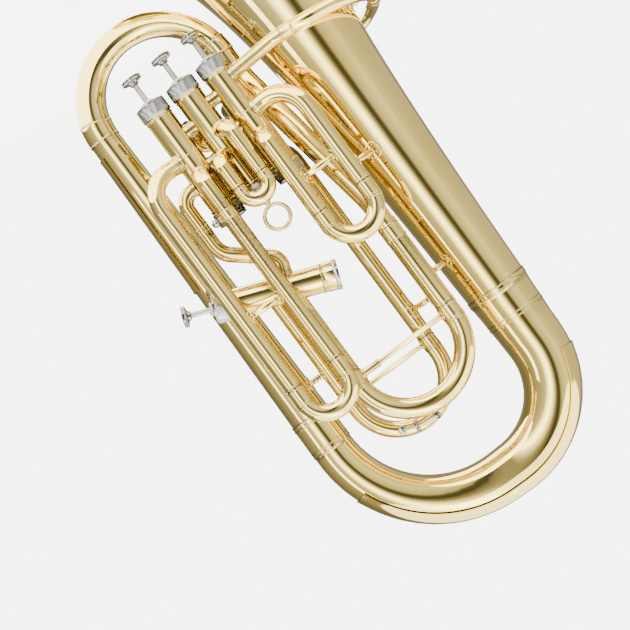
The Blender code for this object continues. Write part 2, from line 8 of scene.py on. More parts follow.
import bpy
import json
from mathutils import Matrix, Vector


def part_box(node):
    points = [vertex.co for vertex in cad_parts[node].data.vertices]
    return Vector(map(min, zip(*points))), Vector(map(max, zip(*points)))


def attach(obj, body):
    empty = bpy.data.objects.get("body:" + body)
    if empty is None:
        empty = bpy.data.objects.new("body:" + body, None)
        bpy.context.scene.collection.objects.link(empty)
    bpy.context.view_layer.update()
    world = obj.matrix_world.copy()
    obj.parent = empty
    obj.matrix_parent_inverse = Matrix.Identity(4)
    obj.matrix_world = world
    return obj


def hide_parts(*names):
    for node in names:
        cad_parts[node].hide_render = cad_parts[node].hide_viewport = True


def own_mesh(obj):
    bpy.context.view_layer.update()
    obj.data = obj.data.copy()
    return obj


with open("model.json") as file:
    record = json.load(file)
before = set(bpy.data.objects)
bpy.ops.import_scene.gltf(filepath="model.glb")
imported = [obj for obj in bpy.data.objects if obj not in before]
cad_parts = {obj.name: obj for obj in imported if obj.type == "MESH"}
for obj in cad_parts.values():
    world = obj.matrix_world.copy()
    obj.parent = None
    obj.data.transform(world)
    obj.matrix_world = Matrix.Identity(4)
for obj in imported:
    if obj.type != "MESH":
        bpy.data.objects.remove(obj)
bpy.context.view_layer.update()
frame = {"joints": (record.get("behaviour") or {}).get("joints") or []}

# %% The modules and the box of a named piece
import json
import math

import bmesh
import bpy
import numpy as np
from mathutils import Matrix, Vector


def span(node):
    """Lowest corner, highest corner and middle of a piece of the frame."""
    low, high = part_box(node)
    return low, high, (low + high) / 2


# %% [markdown]
# ## Camera
# The instrument is seen square to its flat side, from about an arm's length and a half, and
# rolled over so that the bottom bow lies at the lower right and the bell runs off past the top.
# A camera is three directions: its right, its up and the way back from what it sees. Writing
# them down as the columns of a matrix is simpler here than turning it by angles.

# %% Place the camera
branch_low, branch_high, branch_mid = span("outer_branch")
bell_low, bell_high, bell_mid = span("bell")
bow_low, bow_high, _ = span("bottom_bow")
casing_mid = span("valve_casing_2")[2]

ROLL = math.radians(36.6)
VIEW_DISTANCE = 1.35
VIEW_WIDTH = 0.5888
SENSOR = 36.0
AIM_FROM_BELL = 0.1554
AIM_UNDER_TAIL = 0.0793
aim = Vector((bell_mid.x + AIM_FROM_BELL, casing_mid.y, bell_high.z - AIM_UNDER_TAIL))
right = Vector((-math.cos(ROLL), 0, math.sin(ROLL)))
up = Vector((-math.sin(ROLL), 0, -math.cos(ROLL)))
back = right.cross(up)

lens = bpy.data.cameras.new("camera")
lens.sensor_width = SENSOR
lens.lens = SENSOR * VIEW_DISTANCE / VIEW_WIDTH
camera = bpy.data.objects.new("camera", lens)
turned = Matrix((right, up, back)).transposed().to_4x4()
camera.matrix_world = Matrix.Translation(aim + back * VIEW_DISTANCE) @ turned
bpy.context.collection.objects.link(camera)
bpy.context.scene.camera = camera
print("camera at", [round(c, 3) for c in camera.location], "lens", round(lens.lens, 1))

# %% [markdown]
# ## Floor and light
# Polished metal shows the room more than it shows itself. A studio for it is mostly white, with
# a few dark gaps, so that each round tube gets bright bands with dark edges between them. The
# world gives those bands, a broad ceiling light and one lamp at the side fill the shadows, and
# a round pale floor stands under the rim. It glows a little, like a sheet lit from below, so
# that it comes out as light as the backdrop.

# %% Make the floor
FLOOR_RADIUS = 0.5
FLOOR_GLOW = 4.2
bpy.ops.mesh.primitive_circle_add(vertices=96, radius=FLOOR_RADIUS, fill_type="NGON")
floor = bpy.context.object
floor.name = "studio_floor"
floor_look = bpy.data.materials.new("pale_floor")
floor_look.use_nodes = True
floor_shader = floor_look.node_tree.nodes["Principled BSDF"]
floor_shader.inputs["Base Color"].default_value = (0.86, 0.85, 0.84, 1)
floor_shader.inputs["Roughness"].default_value = 0.75
floor_shader.inputs["Emission Color"].default_value = (1, 0.99, 0.965, 1)
floor_shader.inputs["Emission Strength"].default_value = FLOOR_GLOW
floor.data.materials.append(floor_look)

# %% Make the room: one brightness for each direction round the upright tubes
# Degrees from the camera's side towards the outer branch, and the brightness there.
ROOM_BANDS = (
    (-180, 0.4), (-140, 0.4), (-128, 0.9), (-89, 1.0), (-61, 1.25), (-48, 1.7), (-34, 1.4), (-20, 1.0),
    (-13, 0.16), (-6, 0.10), (1, 0.55), (8, 3.0), (16, 7.8), (25, 4.5), (34, 1.25), (52, 0.82), (91, 0.48),
    (125, 0.25), (145, 0.25), (160, 0.35), (180, 0.4),
)
BRIGHTEST = 8.0
LAMP_BRIGHT = 4.0
WALL_WARMTH, LAMP_WARMTH = 0.95, 0.985
BACKGROUND = (6.4, 6.35, 6.2)
world = bpy.data.worlds.new("studio")
bpy.context.scene.world = world
world.use_nodes = True
room = world.node_tree.nodes
wires = world.node_tree.links
sky = room["Background"]
place_in_room = room.new("ShaderNodeTexCoord")
split = room.new("ShaderNodeSeparateXYZ")
towards_camera = room.new("ShaderNodeMath")
towards_camera.operation = "MULTIPLY"
towards_camera.inputs[1].default_value = -1
turn = room.new("ShaderNodeMath")
turn.operation = "ARCTAN2"
share = room.new("ShaderNodeMapRange")
share.inputs["From Min"].default_value = -math.pi
share.inputs["From Max"].default_value = math.pi
bands = room.new("ShaderNodeValToRGB")
wires.new(place_in_room.outputs["Generated"], split.inputs[0])
wires.new(split.outputs["Y"], towards_camera.inputs[0])
wires.new(split.outputs["X"], turn.inputs[0])
wires.new(towards_camera.outputs[0], turn.inputs[1])
wires.new(turn.outputs[0], share.inputs["Value"])
wires.new(share.outputs["Result"], bands.inputs["Fac"])
wires.new(bands.outputs["Color"], sky.inputs["Color"])
sky.inputs["Strength"].default_value = BRIGHTEST
stops = bands.color_ramp.elements
for degrees, bright in ROOM_BANDS:
    if degrees == ROOM_BANDS[0][0]:
        stop = stops[0]
    elif degrees == ROOM_BANDS[-1][0]:
        stop = stops[len(stops) - 1]
    else:
        stop = stops.new((degrees + 180) / 360)
    level = bright / BRIGHTEST
    warmth = WALL_WARMTH if bright < LAMP_BRIGHT else LAMP_WARMTH
    stop.color = (level, level * (1 + warmth) / 2, level * warmth * 0.98, 1)

# The camera itself sees a plain backdrop, and only the metal sees the bands.
seen = room.new("ShaderNodeLightPath")
plain = room.new("ShaderNodeBackground")
plain.inputs["Color"].default_value = (*[channel / BRIGHTEST for channel in BACKGROUND], 1)
plain.inputs["Strength"].default_value = BRIGHTEST
either = room.new("ShaderNodeMixShader")
wires.new(seen.outputs["Is Camera Ray"], either.inputs["Fac"])
wires.new(sky.outputs[0], either.inputs[1])
wires.new(plain.outputs[0], either.inputs[2])
wires.new(either.outputs[0], room["World Output"].inputs["Surface"])
print("room bands:", len(stops))


# %% Hang a lamp at the side and a broad ceiling light
def hang(name, kind, energy, colour):
    lamp = bpy.data.lights.new(name, kind)
    lamp.energy = energy
    lamp.color = colour
    holder = bpy.data.objects.new(name, lamp)
    bpy.context.collection.objects.link(holder)
    return lamp, holder


side_lamp, side_holder = hang("key_side", "AREA", 20, (1, 0.99, 0.96))
side_lamp.shape = "RECTANGLE"
side_lamp.size, side_lamp.size_y = 0.5, 2.2
side_holder.location = (2.1, -1.25, 0.9)
side_holder.rotation_mode = "QUATERNION"
to_middle = Vector((aim.x, 0, 0.35)) - side_holder.location
side_holder.rotation_quaternion = to_middle.to_track_quat("-Z", "Y")
ceiling, ceiling_holder = hang("ceiling", "SUN", 8, (1, 0.995, 0.98))
ceiling.angle = math.radians(110)
ceiling_holder.rotation_euler = (math.radians(8), 0, 0)

# %% [markdown]
# ## Finishes
# All the metals are polished, so they share one recipe: a metallic shader whose colour, roughness
# and bump each drift a little from noise. A broad noise gives the slow change of tint that
# lacquer has, and a fine stretched one gives the hairlines that a polishing mop leaves. Old
# polish stays dark at the edges of each raised line, marked on the mesh. The narrow gaps between
# tubes, found by ambient occlusion, are darkened to the same colour as painted shade.

# %% A recipe for polished metal
# Old polish darkens the raised lines; the same colour is put into the narrow gaps between tubes as painted
# shade, as far as the reach below.
SEAM = "seam"
GAP_SHADE_REACH = 0.014
OLD_POLISH_AND_SHADE = (0.17, 0.125, 0.045)
DIRT_AND_SHADE = 0.85


def polished(name, light, deep, rough, coat=0.0, hairline=0.010, patina_and_shade=OLD_POLISH_AND_SHADE):
    """Metal between two tints, darkened to the patina colour at its lines as old polish and in its gaps as
    painted shade.
    """
    finish = bpy.data.materials.new(name)
    finish.use_nodes = True
    nodes, links = finish.node_tree.nodes, finish.node_tree.links
    shader = nodes["Principled BSDF"]
    shader.inputs["Metallic"].default_value = 1.0
    shader.inputs["Coat Weight"].default_value = coat
    shader.inputs["Coat Roughness"].default_value = 0.06
    shader.inputs["Coat IOR"].default_value = 1.45
    where = nodes.new("ShaderNodeTexCoord")

    def noise(scale, detail, stretch=(1, 1, 1)):
        mapping = nodes.new("ShaderNodeMapping")
        mapping.inputs["Scale"].default_value = stretch
        texture = nodes.new("ShaderNodeTexNoise")
        texture.inputs["Scale"].default_value = scale
        texture.inputs["Detail"].default_value = detail
        links.new(where.outputs["Object"], mapping.inputs["Vector"])
        links.new(mapping.outputs["Vector"], texture.inputs["Vector"])
        return texture.outputs["Fac"]

    def graded(value, low, high, out_low, out_high):
        grade = nodes.new("ShaderNodeMapRange")
        limits = {"From Min": low, "From Max": high, "To Min": out_low, "To Max": out_high}
        for socket, limit in limits.items():
            grade.inputs[socket].default_value = limit
        links.new(value, grade.inputs["Value"])
        return grade.outputs["Result"]

    def times(value, other):
        product = nodes.new("ShaderNodeMath")
        product.operation = "MULTIPLY"
        links.new(value, product.inputs[0])
        if isinstance(other, float):
            product.inputs[1].default_value = other
        else:
            links.new(other, product.inputs[1])
        return product.outputs[0]

    def mixed(factor, first, second):
        blend = nodes.new("ShaderNodeMix")
        blend.data_type = "RGBA"
        links.new(factor, blend.inputs["Factor"])
        for socket, colour in ((blend.inputs["A"], first), (blend.inputs["B"], second)):
            if isinstance(colour, tuple):
                socket.default_value = (*colour, 1)
            else:
                links.new(colour, socket)
        return blend.outputs["Result"]

    tint = mixed(graded(noise(9, 3), 0.35, 0.68, 0, 1), light, deep)
    seam = nodes.new("ShaderNodeAttribute")
    seam.attribute_name = SEAM
    specks = graded(noise(620, 4), 0.40, 0.62, 0.25, 1)
    lined = mixed(times(times(seam.outputs["Fac"], specks), DIRT_AND_SHADE), tint, patina_and_shade)
    # Painted shade: the colour darkens towards the patina where ambient occlusion finds a neighbouring
    # surface close by.
    hollow = nodes.new("ShaderNodeAmbientOcclusion")
    hollow.samples = 6
    hollow.inputs["Distance"].default_value = GAP_SHADE_REACH
    painted_gap_shade = graded(hollow.outputs["AO"], 0.25, 0.85, DIRT_AND_SHADE, 0)
    links.new(mixed(painted_gap_shade, lined, patina_and_shade), shader.inputs["Base Color"])
    smear = graded(noise(34, 5, (1, 1, 0.35)), 0.35, 0.75, rough * 0.75, rough * 1.5)
    links.new(smear, shader.inputs["Roughness"])
    bump = nodes.new("ShaderNodeBump")
    bump.inputs["Strength"].default_value = hairline
    bump.inputs["Distance"].default_value = 0.0005
    links.new(noise(900, 2, (1, 1, 0.06)), bump.inputs["Height"])
    links.new(bump.outputs["Normal"], shader.inputs["Normal"])
    return finish


# Each metal's patina colour is used for its old polish at the lines and for the painted shade in its gaps.
GREY_PATINA_AND_SHADE = (0.1, 0.09, 0.07)
brass = polished("lacquered_brass", (0.88, 0.690, 0.205), (0.84, 0.630, 0.160), 0.05, coat=0.1)
guard_brass = polished(
    "guard_brass", (0.86, 0.665, 0.195), (0.82, 0.605, 0.150), 0.09, coat=0.1, hairline=0.03,
)
nickel = polished(
    "nickel_plate", (0.46, 0.45, 0.43), (0.36, 0.35, 0.33), 0.12, 0.1, 0.02, (0.10, 0.09, 0.08),
)
slide_nickel = polished(
    "nickel_silver_legs", (0.72, 0.70, 0.65), (0.64, 0.62, 0.56), 0.16, 0.0, 0.05, GREY_PATINA_AND_SHADE,
)
silver = polished(
    "silver_plate", (0.90, 0.89, 0.87), (0.84, 0.83, 0.80), 0.07, 0.0, 0.01, (0.2, 0.17, 0.14),
)
honed = polished(
    "honed_piston", (0.58, 0.56, 0.52), (0.50, 0.48, 0.45), 0.26, 0.0, 0.12, GREY_PATINA_AND_SHADE,
)
spring_wire = polished(
    "spring_wire", (0.42, 0.42, 0.44), (0.34, 0.34, 0.35), 0.30, hairline=0.08,
)
print("metal finishes:", [m.name for m in bpy.data.materials if m.name != "pale_floor"])


# %% Two soft finishes: cork for the water key's pad and felt for under the buttons
def soft_finish(name, light, dark, grain, bump_depth, sheen):
    finish = bpy.data.materials.new(name)
    finish.use_nodes = True
    nodes, links = finish.node_tree.nodes, finish.node_tree.links
    shader = nodes["Principled BSDF"]
    shader.inputs["Roughness"].default_value = 0.9
    shader.inputs["Sheen Weight"].default_value = sheen
    where = nodes.new("ShaderNodeTexCoord")
    cells = nodes.new("ShaderNodeTexVoronoi")
    cells.inputs["Scale"].default_value = grain
    ramp = nodes.new("ShaderNodeValToRGB")
    ramp.color_ramp.elements[0].color = (*dark, 1)
    ramp.color_ramp.elements[1].color = (*light, 1)
    ramp.color_ramp.elements[1].position = 0.6
    bump = nodes.new("ShaderNodeBump")
    bump.inputs["Strength"].default_value = 0.6
    bump.inputs["Distance"].default_value = bump_depth
    links.new(where.outputs["Object"], cells.inputs["Vector"])
    links.new(cells.outputs["Distance"], ramp.inputs["Fac"])
    links.new(ramp.outputs["Color"], shader.inputs["Base Color"])
    links.new(cells.outputs["Distance"], bump.inputs["Height"])
    links.new(bump.outputs["Normal"], shader.inputs["Normal"])
    return finish


cork = soft_finish("cork", (0.55, 0.37, 0.20), (0.24, 0.13, 0.06), 1500, 0.0003, 0.0)
felt = soft_finish("felt", (0.62, 0.60, 0.55), (0.42, 0.40, 0.36), 2600, 0.0002, 0.6)

# %% [markdown]
# ## How tube is made
# A brass instrument is nearly all tube: straight, tapered, bent, and stepped where a ferrule
# covers a joint. A curve with a bevel could draw plain tube, but it can't draw a ferrule's
# rings, or a bore inside the open end. Here a profile is swept along a centre line instead. The
# profile is a list of pairs, the distance along the line and the radius there, and it may turn
# back on itself, so one list makes the outside, the rim and the bore. The sections are carried
# along the line without twist, so they stay in step round every bend.

# %% Centre lines
BEND_STEP = math.radians(4)


def bent(corners, bends):
    """Points through the corners, with each inner corner turned at its bend radius."""
    line = [Vector(corners[0])]
    for before, corner, after, bend in zip(corners, corners[1:], corners[2:], bends):
        corner = Vector(corner)
        to_before = (Vector(before) - corner).normalized()
        to_after = (Vector(after) - corner).normalized()
        half = to_before.angle(to_after) / 2
        turn = math.pi - 2 * half
        centre = corner + (to_before + to_after).normalized() * (bend / math.sin(half))
        start = corner + to_before * (bend / math.tan(half)) - centre
        axis = to_before.cross(to_after).normalized()
        count = max(3, math.ceil(turn / BEND_STEP))
        for i in range(count + 1):
            line.append(centre + Matrix.Rotation(-turn * i / count, 3, axis) @ start)
    line.append(Vector(corners[-1]))
    return [p for i, p in enumerate(line) if i == 0 or (p - line[i - 1]).length > 1e-6]


class CentreLine:
    """A line with, at each point, the distance run so far and a section that doesn't twist."""

    def __init__(self, points):
        self.points = [Vector(p) for p in points]
        runs = [0.0]
        for before, after in zip(self.points, self.points[1:]):
            runs.append(runs[-1] + (after - before).length)
        self.runs = runs
        self.length = runs[-1]
        chords = [(b - a).normalized() for a, b in zip(self.points, self.points[1:])]
        self.tangents = [chords[0]]
        self.tangents += [(a + b).normalized() for a, b in zip(chords, chords[1:])]
        self.tangents.append(chords[-1])
        hint = Vector((0, 1, 0)) if abs(chords[0].y) < 0.9 else Vector((1, 0, 0))
        normal = (hint - chords[0] * hint.dot(chords[0])).normalized()
        self.normals = [normal]
        for before, after in zip(self.tangents, self.tangents[1:]):
            normal = before.rotation_difference(after) @ normal
            self.normals.append((normal - after * normal.dot(after)).normalized())

    def section(self, run):
        """Centre, tangent and the section's two directions at this distance along."""
        last = len(self.runs) - 2
        i = min(max(int(np.searchsorted(self.runs, run)) - 1, 0), last)
        share = (run - self.runs[i]) / (self.runs[i + 1] - self.runs[i])
        centre = self.points[i].lerp(self.points[i + 1], share)
        within = min(max(share, 0), 1)
        tangent = self.tangents[i].lerp(self.tangents[i + 1], within).normalized()
        normal = self.normals[i].lerp(self.normals[i + 1], within)
        normal = (normal - tangent * normal.dot(tangent)).normalized()
        return centre, tangent, normal, tangent.cross(normal)


# %% The sweep
def with_line_points(profile, line):
    """The profile with a pair added at each point of the line that it passes."""
    full = [profile[0]]
    for (run_a, r_a), (run_b, r_b) in zip(profile, profile[1:]):
        low, high = sorted((run_a, run_b))
        passed = [run for run in line.runs if low + 1e-5 < run < high - 1e-5]
        if run_b < run_a:
            passed.reverse()
        for run in passed:
            full.append((run, r_a + (r_b - r_a) * (run - run_a) / (run_b - run_a)))
        full.append((run_b, r_b))
    return full


def faced_out(mesh):
    """Turns every face's front to the outside."""
    shell = bmesh.new()
    shell.from_mesh(mesh)
    bmesh.ops.recalc_face_normals(shell, faces=shell.faces)
    shell.to_mesh(mesh)
    shell.free()


def finished(name, mesh, finish, body, replaces=(), crease=35):
    """Makes the mesh a piece that rides on a body and stands for the named pieces of the frame."""
    faced_out(mesh)
    mesh.shade_smooth()
    mesh.set_sharp_from_angle(angle=math.radians(crease))
    mesh.materials.append(finish)
    piece = bpy.data.objects.new(name, mesh)
    bpy.context.collection.objects.link(piece)
    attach(piece, body)
    if replaces:
        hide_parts(*replaces)
    return piece


def mark_seams(mesh, values):
    """How much old polish there is at each point, from 0 to 1."""
    mesh.attributes.new(SEAM, "FLOAT", "POINT").data.foreach_set("value", values)


SOLDER_SPREAD = 0.0022
SOLDER_STAIN = 0.35


def is_small_step(pairs, i):
    """Whether the outline climbs or drops by a line's height between this pair and the next."""
    if not 0 <= i < len(pairs) - 1:
        return False
    (run, radius), (next_run, next_radius) = pairs[i], pairs[i + 1]
    rise = abs(next_radius - radius)
    return 0.00008 < rise < 0.0006 and rise > 0.4 * abs(next_run - run)


def ring_faces(first, after, sides):
    """Faces between two rings of points, given where each ring starts."""
    return [
        (first + k, first + (k + 1) % sides, after + (k + 1) % sides, after + k)
        for k in range(sides)
    ]


def swept_mesh(name, points, profile, sides=48, looped=False, seams=()):
    """The profile carried along the line; a looped one closes on itself and has no end caps."""
    line = points if isinstance(points, CentreLine) else CentreLine(points)
    full = with_line_points(profile, line)
    angles = [2 * math.pi * k / sides for k in range(sides)]
    verts, dirt = [], []
    for ring, (run, radius) in enumerate(full):
        centre, _, across, over = line.section(run)
        nearness = [math.exp(-abs(run - seam) / SOLDER_SPREAD) for seam in seams]
        mark = SOLDER_STAIN * max(nearness, default=0.0)
        if any(is_small_step(full, i) for i in (ring - 1, ring)):
            mark = 1.0
        for a in angles:
            verts.append(centre + (across * math.cos(a) + over * math.sin(a)) * radius)
            dirt.append(mark)
    rings = len(full)
    faces = []
    for i in range(rings if looped else rings - 1):
        faces += ring_faces(i * sides, ((i + 1) % rings) * sides, sides)
    if not looped:
        faces.append(tuple(reversed(range(sides))))
        faces.append(tuple(range((rings - 1) * sides, rings * sides)))
    mesh = bpy.data.meshes.new(name)
    mesh.from_pydata(verts, [], faces)
    mark_seams(mesh, dirt)
    return mesh


def sweep(name, points, profile, finish, body, replaces=(), slot="lacquered_brass", **shape):
    mesh = swept_mesh(name, points, profile, **shape)
    return finished(name, mesh, finish, body, replaces)


def brass_tube(name, points, profile, replaces=(), **shape):
    """A tube of the fixed instrument."""
    return sweep(name, points, profile, brass, "instrument", replaces, **shape)


# %% [markdown]
# ## Ferrules, rims and bores
# A ferrule is a short sleeve soldered over a joint, with a raised line at each of its ends. The
# lines catch the light and hold dark polish, so they are worth real geometry. Each helper below
# returns a few pairs for a profile, so a tube is written as it is built: plain, line, sleeve,
# line, plain. CLOSED is the radius of a profile's ends, as near to nothing as a ring can be.

# %% Small profile helpers
CLOSED = 1e-5
LINE_HEIGHT = 0.00045
LINE_HALF = 0.0007
LINE_SHAPE = ((-1.3, 0), (-1, 0), (-0.8, 0.55), (-0.35, 0.95), (0.35, 0.95), (0.8, 0.55), (1, 0), (1.3, 0))


def raised_line(run, radius, height=LINE_HEIGHT, half=LINE_HALF):
    """A low rounded ring round the tube."""
    return [(run + half * u, radius + height * v) for u, v in LINE_SHAPE]


def ferrule(run, width, radius, lift=0.0004):
    """A sleeve that stands proud by its own wall, with a raised line at each end."""
    low, high = run - width / 2, run + width / 2
    edge = LINE_HALF
    pairs = [(low - edge * 1.2, radius), (low - edge, radius + lift * 0.7)]
    pairs += raised_line(low + edge * 0.4, radius + lift)
    pairs += raised_line(high - edge * 0.4, radius + lift)
    pairs += [(high + edge, radius + lift * 0.7), (high + edge * 1.2, radius)]
    return pairs


def double_line(run, gap, radius, lift=0.0003):
    """Two raised lines with a flat band between them."""
    foot = radius + lift / 2
    return raised_line(run - gap / 2, foot) + raised_line(run + gap / 2, foot)


def open_end(run, radius, bore, depth):
    """A rounded rim at the end of the line, then back down the bore for this depth."""
    wall = radius - bore
    return [
        (run - wall * 0.3, radius),
        (run, radius - wall * 0.3),
        (run, bore + wall * 0.3),
        (run - wall * 0.3, bore),
        (run - depth, bore),
    ]

# %% [markdown]
# ## The bell
# A bell is one sheet of brass, rolled into a long funnel and spun over a steel mandrel. Its
# outline is a falling power of the distance from the rim: nearly straight for most of its
# length, then opening fast. The rim is folded over a wire, which makes the bead that the
# instrument stands on. The same power as in the frame's bell gives the outline here, so the
# fine bell lies on the plain one, and a small helper below reads any radius off it.

# %% Spin the bell
FLARE_POWER = 0.51
FERRULE_PROUD = 0.0012
rim_r = (bell_high.x - bell_low.x) / 2
tail_z = bell_high.z
tail_r = (bow_high.y - bow_low.y) / 2 - FERRULE_PROUD
flare_shift = tail_z / ((rim_r / tail_r) ** (1 / FLARE_POWER) - 1)
BEAD_R = 0.0023
SHEET = 0.0009


def bell_radius(z):
    return rim_r * (flare_shift / (z + flare_shift)) ** FLARE_POWER


def bell_axis(z):
    return Vector((bell_mid.x, 0, z))


RINGS = 70
first_z = 2 * BEAD_R + 0.0004
heights = [first_z + (tail_z - first_z) * (i / RINGS) ** 1.6 for i in range(RINGS + 1)]
outside = [(z, bell_radius(z)) for z in heights]
bead_centre_r = rim_r - BEAD_R
bead = [
    (BEAD_R + BEAD_R * math.sin(a), bead_centre_r + BEAD_R * math.cos(a))
    for a in [math.radians(60 - 20 * i) for i in range(13)]
]
inside = [(z, r - SHEET) for z, r in outside]
brass_tube(
    "bell_flare", [bell_axis(0), bell_axis(tail_z)], outside[::-1] + bead + inside, ("bell",),
    sides=128, looped=True, seams=(2 * BEAD_R,),
)
print("bell: rim", round(2000 * rim_r), "mm, tail", round(2000 * tail_r, 1), "mm")

# %% [markdown]
# ## The bottom bow and its ferrules
# The bottom bow is a tapered tube filled with pitch or ice, bent round a former and smoothed in
# a die. It is the widest bend of the instrument. It joins the bell's tail on one side and the
# outer branch on the other under long sleeves, each with a double line at both of its ends. One
# sweep makes bow and sleeves together, because they are soldered into one.

# %% Sweep the bow
branch_x = branch_mid.x
branch_ferrule_z = bow_low.z
bell_ferrule_z = tail_z + 0.0003
BOW_SPRING_Z = 0.517
BOW_CROWN_Z = 0.6357
BOW_BELL_BEND = 0.087
BOW_BRANCH_BEND = 0.116
BOW_LINE_GAP = 0.0042
bow_bell_r = 0.0299
bow_branch_r = 0.0206
corners = [
    bell_axis(bell_ferrule_z),
    bell_axis(BOW_CROWN_Z),
    Vector((branch_x, 0, BOW_CROWN_Z)),
    Vector((branch_x, 0, branch_ferrule_z)),
]
bow_line = CentreLine(bent(corners, [BOW_BELL_BEND, BOW_BRANCH_BEND]))
bell_leg = BOW_SPRING_Z - bell_ferrule_z
branch_leg = BOW_SPRING_Z - branch_ferrule_z
bend_run = bow_line.length - bell_leg - branch_leg


def bow_radius(run):
    """The bow narrows evenly from its bell side to its branch side."""
    share = min(max((run - bell_leg) / bend_run, 0), 1)
    return bow_bell_r + (bow_branch_r - bow_bell_r) * share


bow_end = bow_line.length
bow_profile = [(0.0, 0.0), (0.0, tail_r + 0.0002), (0.0002, tail_r + 0.0006)]
bow_profile += double_line(0.0032, BOW_LINE_GAP, tail_r + 0.0005)
bow_profile += [(0.0070, tail_r + 0.0003)]
for share in (0.35, 0.7):
    bow_profile.append((bell_leg * share, tail_r + (bow_bell_r - tail_r) * share + 0.0003))
bow_profile += double_line(bell_leg - 0.0005, BOW_LINE_GAP, bow_bell_r + 0.0004)
bow_profile += [(bell_leg + 0.0040, bow_bell_r + 0.0002)]
for i in range(1, 24):
    run = bell_leg + bend_run * i / 24
    bow_profile.append((run, bow_radius(run)))
bow_profile += [(bow_end - branch_leg + 0.0005, bow_branch_r)]
bow_profile += double_line(bow_end - branch_leg + 0.0045, BOW_LINE_GAP, bow_branch_r + 0.0004)
bow_profile += [(bow_end - 0.0100, bow_branch_r + 0.0003)]
bow_profile += double_line(bow_end - 0.0030, BOW_LINE_GAP, bow_branch_r + 0.0004)
bow_profile += [(bow_end - 0.0001, bow_branch_r + 0.0003), (bow_end, bow_branch_r - 0.0002), (bow_end, 0.0)]
bow_profile = [(run, max(r, CLOSED)) for run, r in sorted(bow_profile, key=lambda pair: pair[0])]
brass_tube(
    "bottom_bow_tube", bow_line, bow_profile, ("bottom_bow",), sides=96,
    seams=(0.0, bell_leg + 0.003, bow_end - branch_leg + 0.0025, bow_end),
)
print("bottom bow: centre line", round(1000 * bow_line.length), "mm long")

# %% [markdown]
# ## The outer branch, the top bow and the inner branch
# From the bottom bow the tube runs on, always narrowing: up the outer branch, round the top bow
# and down the inner branch to the main tuning slide. The three are separate tubes with a
# ferrule over each joint. Their taper is read from the boxes of the frame's pieces, and their
# ferrules overlap the joints, which hides the small gaps that the frame leaves there.

# %% Sweep the three branches
top_low, top_high, _ = span("top_bow")
branch_foot_r = bow_branch_r - 0.0003
branch_top_r = (top_high.y - top_low.y) / 2
joint_z = branch_low.z
TOP_BOW_BEND = 0.070
TOP_SPRING_Z = 0.150
INNER_TOP_R = 0.0118
inner_x = branch_x - 2 * TOP_BOW_BEND

branch_run = branch_high.z - branch_low.z
branch_profile = [(0.0, CLOSED), (0.0, branch_foot_r - 0.0002), (0.0012, branch_foot_r)]
branch_profile += [(branch_run - 0.010, branch_top_r + 0.0002)]
branch_profile += [(branch_run, branch_top_r), (branch_run, CLOSED)]
branch_ends = [Vector((branch_x, 0, branch_high.z)), Vector((branch_x, 0, branch_low.z))]
brass_tube(
    "outer_branch_tube", branch_ends, branch_profile, ("outer_branch",), sides=80, seams=(0.0, branch_run),
)

crown_z = TOP_SPRING_Z - TOP_BOW_BEND
corners = [
    Vector((branch_x, 0, joint_z)),
    Vector((branch_x, 0, crown_z)),
    Vector((inner_x, 0, crown_z)),
    Vector((inner_x, 0, joint_z)),
]
top_line = CentreLine(bent(corners, [TOP_BOW_BEND] * 2))
top_profile = [(0.0, CLOSED), (0.0, branch_top_r)]
top_profile += ferrule(0.012, 0.018, branch_top_r, 0.0006)
for i in range(1, 16):
    share = i / 16
    run = 0.022 + (top_line.length - 0.042) * share
    top_profile.append((run, branch_top_r + (INNER_TOP_R - branch_top_r) * share))
top_profile += ferrule(top_line.length - 0.010, 0.014, INNER_TOP_R, 0.0006)
top_profile += [(top_line.length, INNER_TOP_R), (top_line.length, CLOSED)]
brass_tube(
    "top_bow_tube", top_line, top_profile, ("top_bow",), sides=72,
    seams=(0.002, 0.022, top_line.length - 0.018),
)

main_near_low, main_near_high, main_near = span("main_slide_sleeve_near")
main_r = (main_near_high.x - main_near_low.x) / 2
corners = [
    Vector((inner_x, 0, joint_z - 0.002)),
    Vector((inner_x, 0, 0.168)),
    Vector((main_near.x, main_near.y, 0.350)),
    Vector((main_near.x, main_near.y, main_near_low.z + 0.001)),
]
inner_line = CentreLine(bent(corners, [0.060, 0.060]))
inner_run = inner_line.length
inner_profile = [(0.0, CLOSED), (0.0, INNER_TOP_R - 0.0001)]
inner_foot_r = main_r - 0.0004
for i in range(1, 12):
    inner_profile.append((inner_run * i / 12, INNER_TOP_R + (inner_foot_r - INNER_TOP_R) * i / 12))
inner_profile += [(inner_run - 0.0004, inner_foot_r), (inner_run, CLOSED)]
brass_tube("inner_branch_tube", inner_line, inner_profile, ("inner_branch",), sides=56)
print("branches taper from", round(2000 * branch_foot_r, 1), "to", round(2000 * INNER_TOP_R, 1), "mm")

# %% [markdown]
# ## Guards
# Where the instrument is gripped or set down, a second thin sheet is soldered over the tube. It
# follows the tube's outer side, a little proud of it, and its edge is folded to a small bead so
# that it doesn't cut the hand. The strip is a grid laid on the tube, with the height of each
# row of points giving the fold.

# %% A strip that follows a tube
GUARD_SHEET = 0.0007
GUARD_FOLD = 0.0006
GUARD_COLUMNS = 26


